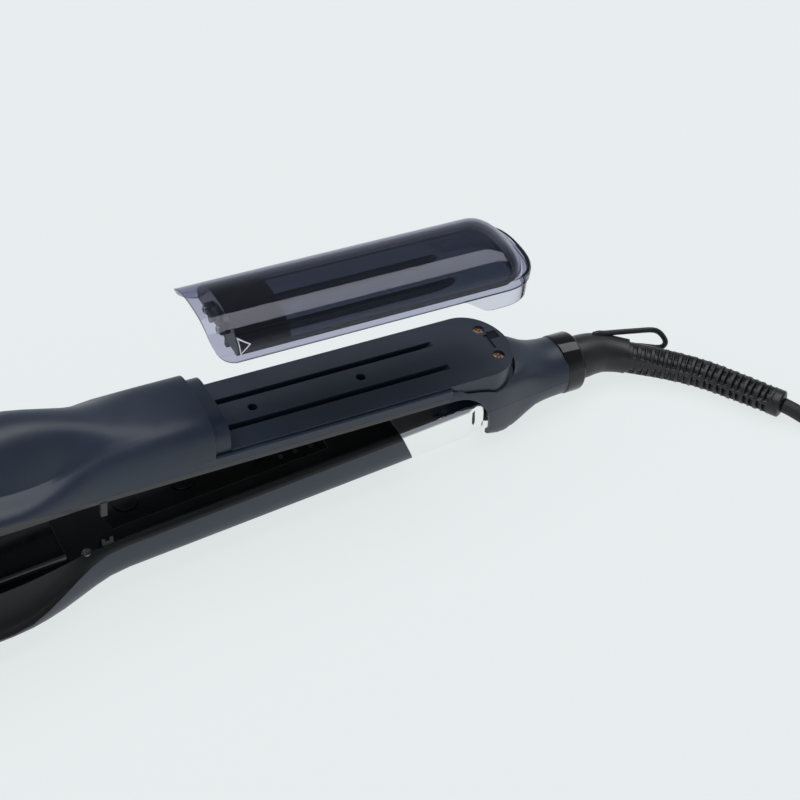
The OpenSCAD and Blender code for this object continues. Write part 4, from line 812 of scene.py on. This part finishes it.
@dataclass
class WaterTank:
    """The lifted tank: a clear cover round a smoky vessel, with its valve, nozzles, seals and stopper."""

    half: float = 20.2
    lip_half: float = 19.3
    lip_thin: float = 0.42
    wall: float = 0.9
    top: float = 37.8
    base: float = 24.96
    ledge: float = 23.7
    front: float = 129.4
    front_round: float = 12.0
    bend: float = -7.1
    lip_rear: float = 11.2
    lip_low: float = 15.6
    lip_bend: float = 26.6
    lip_round: float = 1.4
    dome_rear: float = 5.4
    dome_low: float = 28.6
    dome_start: float = -13.0
    power_up: float = 2.2
    power_across: float = 2.6
    dip_start: float = -27.0
    dip_end: float = -11.3
    hollow_start: float = -98.0
    vessel_start: float = -119.3
    vessel_gap: float = 0.12
    vessel_inner: float = 1.4
    rail_y: float = 7.5
    rail_low: float = 21.6
    sharp_degrees: float = 40.0
    vessel_sharp_degrees: float = 38.0
    weld_m: float = 1e-5

    def build(self) -> None:
        """Makes the cover and the vessel and dresses the solids inside."""
        self.cover()
        self.vessel()
        for node, finish in (("valve_block", PANEL_BLACK), ("tank_nozzles", STEEL),
                             ("nozzle_seals", SILICONE), ("filler_plug", SILICONE)):
            soften(finish.dress(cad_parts[node]))
        self.mark()

    def plan(self, z: np.ndarray, half: np.ndarray, start: np.ndarray, bend: np.ndarray, rear: np.ndarray,
             across: int = 34, along_side: int = 44) -> np.ndarray:
        """Level outlines of the tank, open at the front: a straight side, a rounded rear and a straight side.

        The rear is half a superellipse whose power is 2.5, so it is a little squarer than an ellipse.

        Args:
            z: Height of each outline.
            half: Half width of each outline.
            start: Front end of its sides.
            bend: Place where the sides turn into the rear.
            rear: Rear end on the middle line.
            across: Points on each quarter of the rear.
            along_side: Points on each side.

        Returns:
            Array of outlines by points by 3.
        """
        z, half, start, bend, rear = (np.asarray(v, float)[:, None] for v in (z, half, start, bend, rear))
        t = np.linspace(0, 1, along_side, endpoint=False)[None, :]
        q = np.radians(np.linspace(-90, 90, 2 * across + 1))[None, :]
        side = mix(start, bend, t)
        c, s = np.clip(np.cos(q), 0, 1) ** 0.8, np.sign(np.sin(q)) * np.abs(np.sin(q)) ** 0.8
        x = np.concatenate([side, bend + (rear - bend) * c, side[:, ::-1]], 1)
        y = np.concatenate([-half + 0 * side, half * s, half + 0 * side], 1)
        return np.stack([x, y, np.broadcast_to(z, x.shape)], -1)

    def width_share(self, z: np.ndarray) -> np.ndarray:
        """Share of the full half width that the cover keeps at a height: a superellipse from the base to the top."""
        high = np.clip((z - self.base) / (self.top - self.base), 0, 1)
        return (1 - high ** self.power_up) ** (1 / self.power_across)

    def dome(self, c: np.ndarray, inset: float) -> tuple[np.ndarray, np.ndarray, np.ndarray, np.ndarray]:
        """Height, half width, bend and rear of the outlines that make the rounded top.

        Each outline keeps the share c of the half width; its height follows a superellipse across, and its rear end
        draws in along a superellipse between the dome's foot and the top.

        Args:
            c: Shares of the half width, from 1 at the foot to 0 on the middle line.
            inset: Distance that the surface lies inside the cover's outer skin.

        Returns:
            Height, half width, bend and rear end of each outline.
        """
        rise = np.clip(1 - c ** self.power_across, 0, 1) ** (1 / self.power_up)
        z = self.base + (self.top - inset - self.base) * rise
        high = np.clip((z - self.dome_low) / (self.top - inset - self.dome_low), 0, 1)
        back = (1 - high ** self.power_up) ** (1 / self.power_up)
        rear = self.dome_start + (self.dome_rear - inset - self.dome_start) * back
        half = (self.half - inset) * c
        return z, half, rear - 0.63 * half, rear

    def skin(self, inset: float) -> np.ndarray:
        """Outlines of the cover from the lip's lower edge to the middle of the top.

        The lip dips into the moat at the rear, stands out past the dome and turns in to it with a small round. Down
        in the moat its wall is thinner, to stay clear of the dock. The front edge rises in a quarter circle at the
        foot of each side.

        Args:
            inset: Distance that the surface lies inside the cover's outer skin.

        Returns:
            Array of outlines by points by 3.
        """
        low = np.concatenate([np.linspace(self.lip_low, self.ledge - 0.01, 12), [self.ledge, self.ledge + 0.28]])
        turn = np.radians(np.linspace(0, 90, 8))
        z_lip = np.concatenate([np.linspace(self.ledge + 0.3, self.lip_bend, 9)[:-1],
                                self.lip_bend + self.lip_round * np.sin(turn), [28.05, 28.15, 28.35, 28.7]])
        r_lip = np.concatenate([np.full(8, self.lip_rear), self.lip_rear - self.lip_round * (1 - np.cos(turn)),
                                [8.4, 7.2, 6.2, 5.6]])
        z_dome, half_dome, bend_dome, rear_dome = (
            v[11:] for v in self.dome(np.cos(np.radians(np.linspace(0, 90, 70))), inset))
        z = np.concatenate([low, z_lip - 0.55 * inset * (r_lip < 9.8), z_dome])
        half = np.concatenate([np.full(len(low), self.lip_half - inset * self.lip_thin),
                               self.half * self.width_share(z_lip) - inset, half_dome])
        rear = np.concatenate([np.full(len(low), self.lip_rear - 0.4), r_lip, rear_dome + inset]) - inset
        bend = np.minimum(np.concatenate([np.full(len(low) + len(z_lip), self.bend), bend_dome]), self.bend)
        rise = np.clip((z - self.ledge) / self.front_round, 0, 1)
        start = -self.front + self.front_round * (1 - np.sqrt(np.clip(1 - (1 - rise) ** 2, 0, 1)))
        dip = mix(self.dip_start, self.dip_end, np.linspace(0, 1, 400))
        foot = mix(self.ledge, self.lip_low, ease(self.dip_start, self.dip_end, dip))
        start = np.where(z < self.ledge, np.interp(-z, -foot, dip), start)
        return self.plan(z, half, start, bend, rear)

    def cover(self) -> Object:
        """Makes the cover as one closed wall: its outer skin, its inner skin and the rim between them."""
        outer, inner = self.skin(0.0), self.skin(self.wall)
        inner[:, :, 2] = np.where(np.arange(len(inner))[:, None] == 0, self.lip_low, inner[:, :, 2])
        grid = np.concatenate([outer, inner[:, ::-1]], 1)
        obj = surface("tank_cover_clear", to_frame(grid, Place.TANK), caps=False)
        self.close_ends(obj, len(outer), outer.shape[1])
        return stands_for(obj, COVER_CLEAR, "tank", "tank_cover")

    def close_ends(self, obj: Object, rings: int, n: int) -> None:
        """Joins the two skins along the lower rim and closes each skin along the middle of the top.

        The last outline has no width, so its two sides meet there.
        """
        old = obj.data
        quads = [list(p.vertices) for p in old.polygons]
        first = [[j, j + 1, 2 * n - 2 - j, 2 * n - 1 - j] for j in range(n - 1)]
        mesh = bpy.data.meshes.new(obj.name)
        mesh.from_pydata([v.co[:] for v in old.vertices], [], quads + first)
        mesh.validate()
        obj.data = mesh
        soften(obj, self.sharp_degrees, self.weld_m)

    def vessel(self) -> Object:
        """Makes the smoky vessel that fills the cover, hollow behind the valve block, with its two rails.

        Its lowest part is drawn in by a small step.
        """
        walls = []
        for inset, front in ((self.wall + self.vessel_gap, self.vessel_start),
                             (self.wall + self.vessel_inner, self.hollow_start)):
            c = np.cos(np.radians(np.linspace(0, 90, 56)))
            z, half, bend, rear = self.dome(c, inset)
            z = np.maximum(z, self.base + 0.1 + inset - self.wall)
            foot = 1.5 * (1 - ease(0.14, 0.2, (z - self.base) / (self.top - self.base)))
            walls.append(self.plan(z, half - foot, np.full_like(z, front), np.minimum(bend, -7.6), rear - foot))
        parts = [self.shut(grid, k == 1) for k, grid in enumerate(walls)] + [self.rail(1), self.rail(-1)]
        count = 0
        points, faces = [], []
        for p, f in parts:
            points.append(p)
            faces += [[i + count for i in face] for face in f]
            count += len(p)
        mesh = bpy.data.meshes.new("tank_vessel_smoky")
        mesh.from_pydata(to_frame(np.vstack(points), Place.TANK).tolist(), [], faces)
        mesh.validate()
        obj = finish_object("tank_vessel_smoky", mesh)
        soften(obj, self.vessel_sharp_degrees, self.weld_m)
        return stands_for(obj, VESSEL_CLEAR, "tank", "tank_reservoir")

    def rail(self, side: int) -> tuple[np.ndarray, list]:
        """Makes one rail under the vessel: a straight bar whose rear end curves up as a quarter ellipse.

        Args:
            side: 1 for the far rail and -1 for the near one.

        Returns:
            The points and the faces.
        """
        t = np.linspace(0, 1, 14)
        x = np.concatenate([[-119.1, -60.0], -35.5 + 12.3 * t])
        low = self.rail_low + np.concatenate([[0, 0], 3.5 * (1 - np.sqrt(1 - t ** 2))])
        ring = np.array([[-1.1, 0], [-0.9, -0.2], [0.9, -0.2], [1.1, 0], [1.1, 1], [-1.1, 1]])
        y = side * self.rail_y + np.broadcast_to(ring[:, 0], (len(x), 6))
        z = np.where(ring[:, 1] == 1, self.base + 0.09, low[:, None] + 0.2 + ring[:, 1])
        grid = np.stack([np.broadcast_to(x[:, None], y.shape), y, np.minimum(z, self.base + 0.09)], -1)
        i, j = np.meshgrid(np.arange(len(x) - 1), np.arange(6), indexing="ij")
        k = (j + 1) % 6
        walls = np.stack([i * 6 + j, i * 6 + k, (i + 1) * 6 + k, (i + 1) * 6 + j], -1).reshape(-1, 4).tolist()
        ends = [list(range(5, -1, -1)), [(len(x) - 1) * 6 + v for v in range(6)]]
        return grid.reshape(-1, 3), walls + ends

    def shut(self, grid: np.ndarray, turned: bool) -> tuple[np.ndarray, list]:
        """Closes a stack of level outlines with a bottom and a front, and lists its faces.

        Args:
            grid: Outlines by points by 3, the last one without width.
            turned: Whether the faces look inwards, for a hollow.

        Returns:
            The points and the faces.
        """
        m, n = grid.shape[:2]
        i, j = np.meshgrid(np.arange(m - 1), np.arange(n - 1), indexing="ij")
        a = i * n + j
        sides = np.stack([a, a + 1, a + n + 1, a + n], -1).reshape(-1, 4)
        k = np.arange(n // 2)
        bottom = np.stack([k, n - 1 - k, n - 2 - k, k + 1], -1)[:-1]
        r = np.arange(m - 1) * n
        front = np.stack([r, r + n, r + 2 * n - 1, r + n - 1], -1)
        faces = np.concatenate([sides, bottom, front])
        return grid.reshape(-1, 3), (faces[:, ::-1] if turned else faces).tolist()

    def mark(self) -> Object:
        """Makes the small outlined triangle printed on the near side of the cover.

        Its outline is a triangle with an inner triangle cut out, and it follows the cover's rounded side.
        """
        corners = np.array([[-118.9, 27.2], [-114.3, 30.4], [-119.3, 33.2]])
        t = np.linspace(0, 3, 25)[:, None]
        k = np.minimum(t.astype(int), 2)[:, 0]
        outline = mix(corners[k], corners[(k + 1) % 3], t - k[:, None])
        base = np.stack([mix(corners.mean(0), outline, share) for share in (1.0, 0.74)])
        side = self.half * self.width_share(base[..., 1]) + 0.02
        grid = np.stack([base[..., 0], -side, base[..., 1]], -1)
        lifted = grid - np.array([0, 0.03, -0.015])
        loop = np.stack([grid[0], lifted[0], lifted[1], grid[1]], 0)
        obj = surface("fill_mark", to_frame(loop.transpose(1, 0, 2), Place.TANK), caps=False, smooth=False)
        return stands_for(obj, INK, "tank")


@dataclass
class Arms:
    """The two arms: their solids keep their shapes and take their finishes."""

    finishes: dict = field(default_factory=lambda: {
        "lower_shell": NAVY, "lower_frame": FRAME_BLACK, "control_panel": PANEL_BLACK, "power_button": PANEL_BLACK,
        "mode_button": PANEL_BLACK, "lock_slider": FRAME_BLACK, "indicator_lights": LENS, "control_board": BOARD,
        "key_switches": STEEL, "lower_plate": PLATE, "lower_heater": HEATER, "lower_plate_springs": STEEL,
        "lower_carrier": FRAME_BLACK, "chrome_cap": CHROME, "hinge_knuckle": FRAME_BLACK, "frame_screws": STEEL,
        "guide_posts": FRAME_BLACK, "hinge_pin": STEEL, "hinge_spring": STEEL, "upper_shell": NAVY,
        "port_block": NAVY, "port_seals": SILICONE, "tank_dock": NAVY, "dock_screws": SCREW,
        "tank_catch": PANEL_BLACK, "catch_spring": STEEL, "upper_frame": FRAME_GREY, "upper_plate": PLATE,
        "upper_heater": HEATER, "upper_plate_springs": STEEL, "upper_carrier": FRAME_BLACK,
        "steam_chamber": STEEL, "water_pump": PANEL_BLACK, "water_tubes": SILICONE, "steam_bar": FRAME_BLACK,
        "tail_shell": NAVY, "tail_screws": STEEL})

    def build(self) -> None:
        """Dresses each solid and shades its curves smooth."""
        for node, finish in self.finishes.items():
            soften(finish.dress(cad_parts[node]))
            LOG.info("%s dressed as %s", node, finish.name)


def main() -> None:
    """Builds the object: camera and cord first, then the tank and the arms."""
    logging.basicConfig(level=logging.INFO, format="%(message)s")
    Studio().build()
    MainsLead().build()
    WaterTank().build()
    Arms().build()


if __name__ == "__main__":
    main()
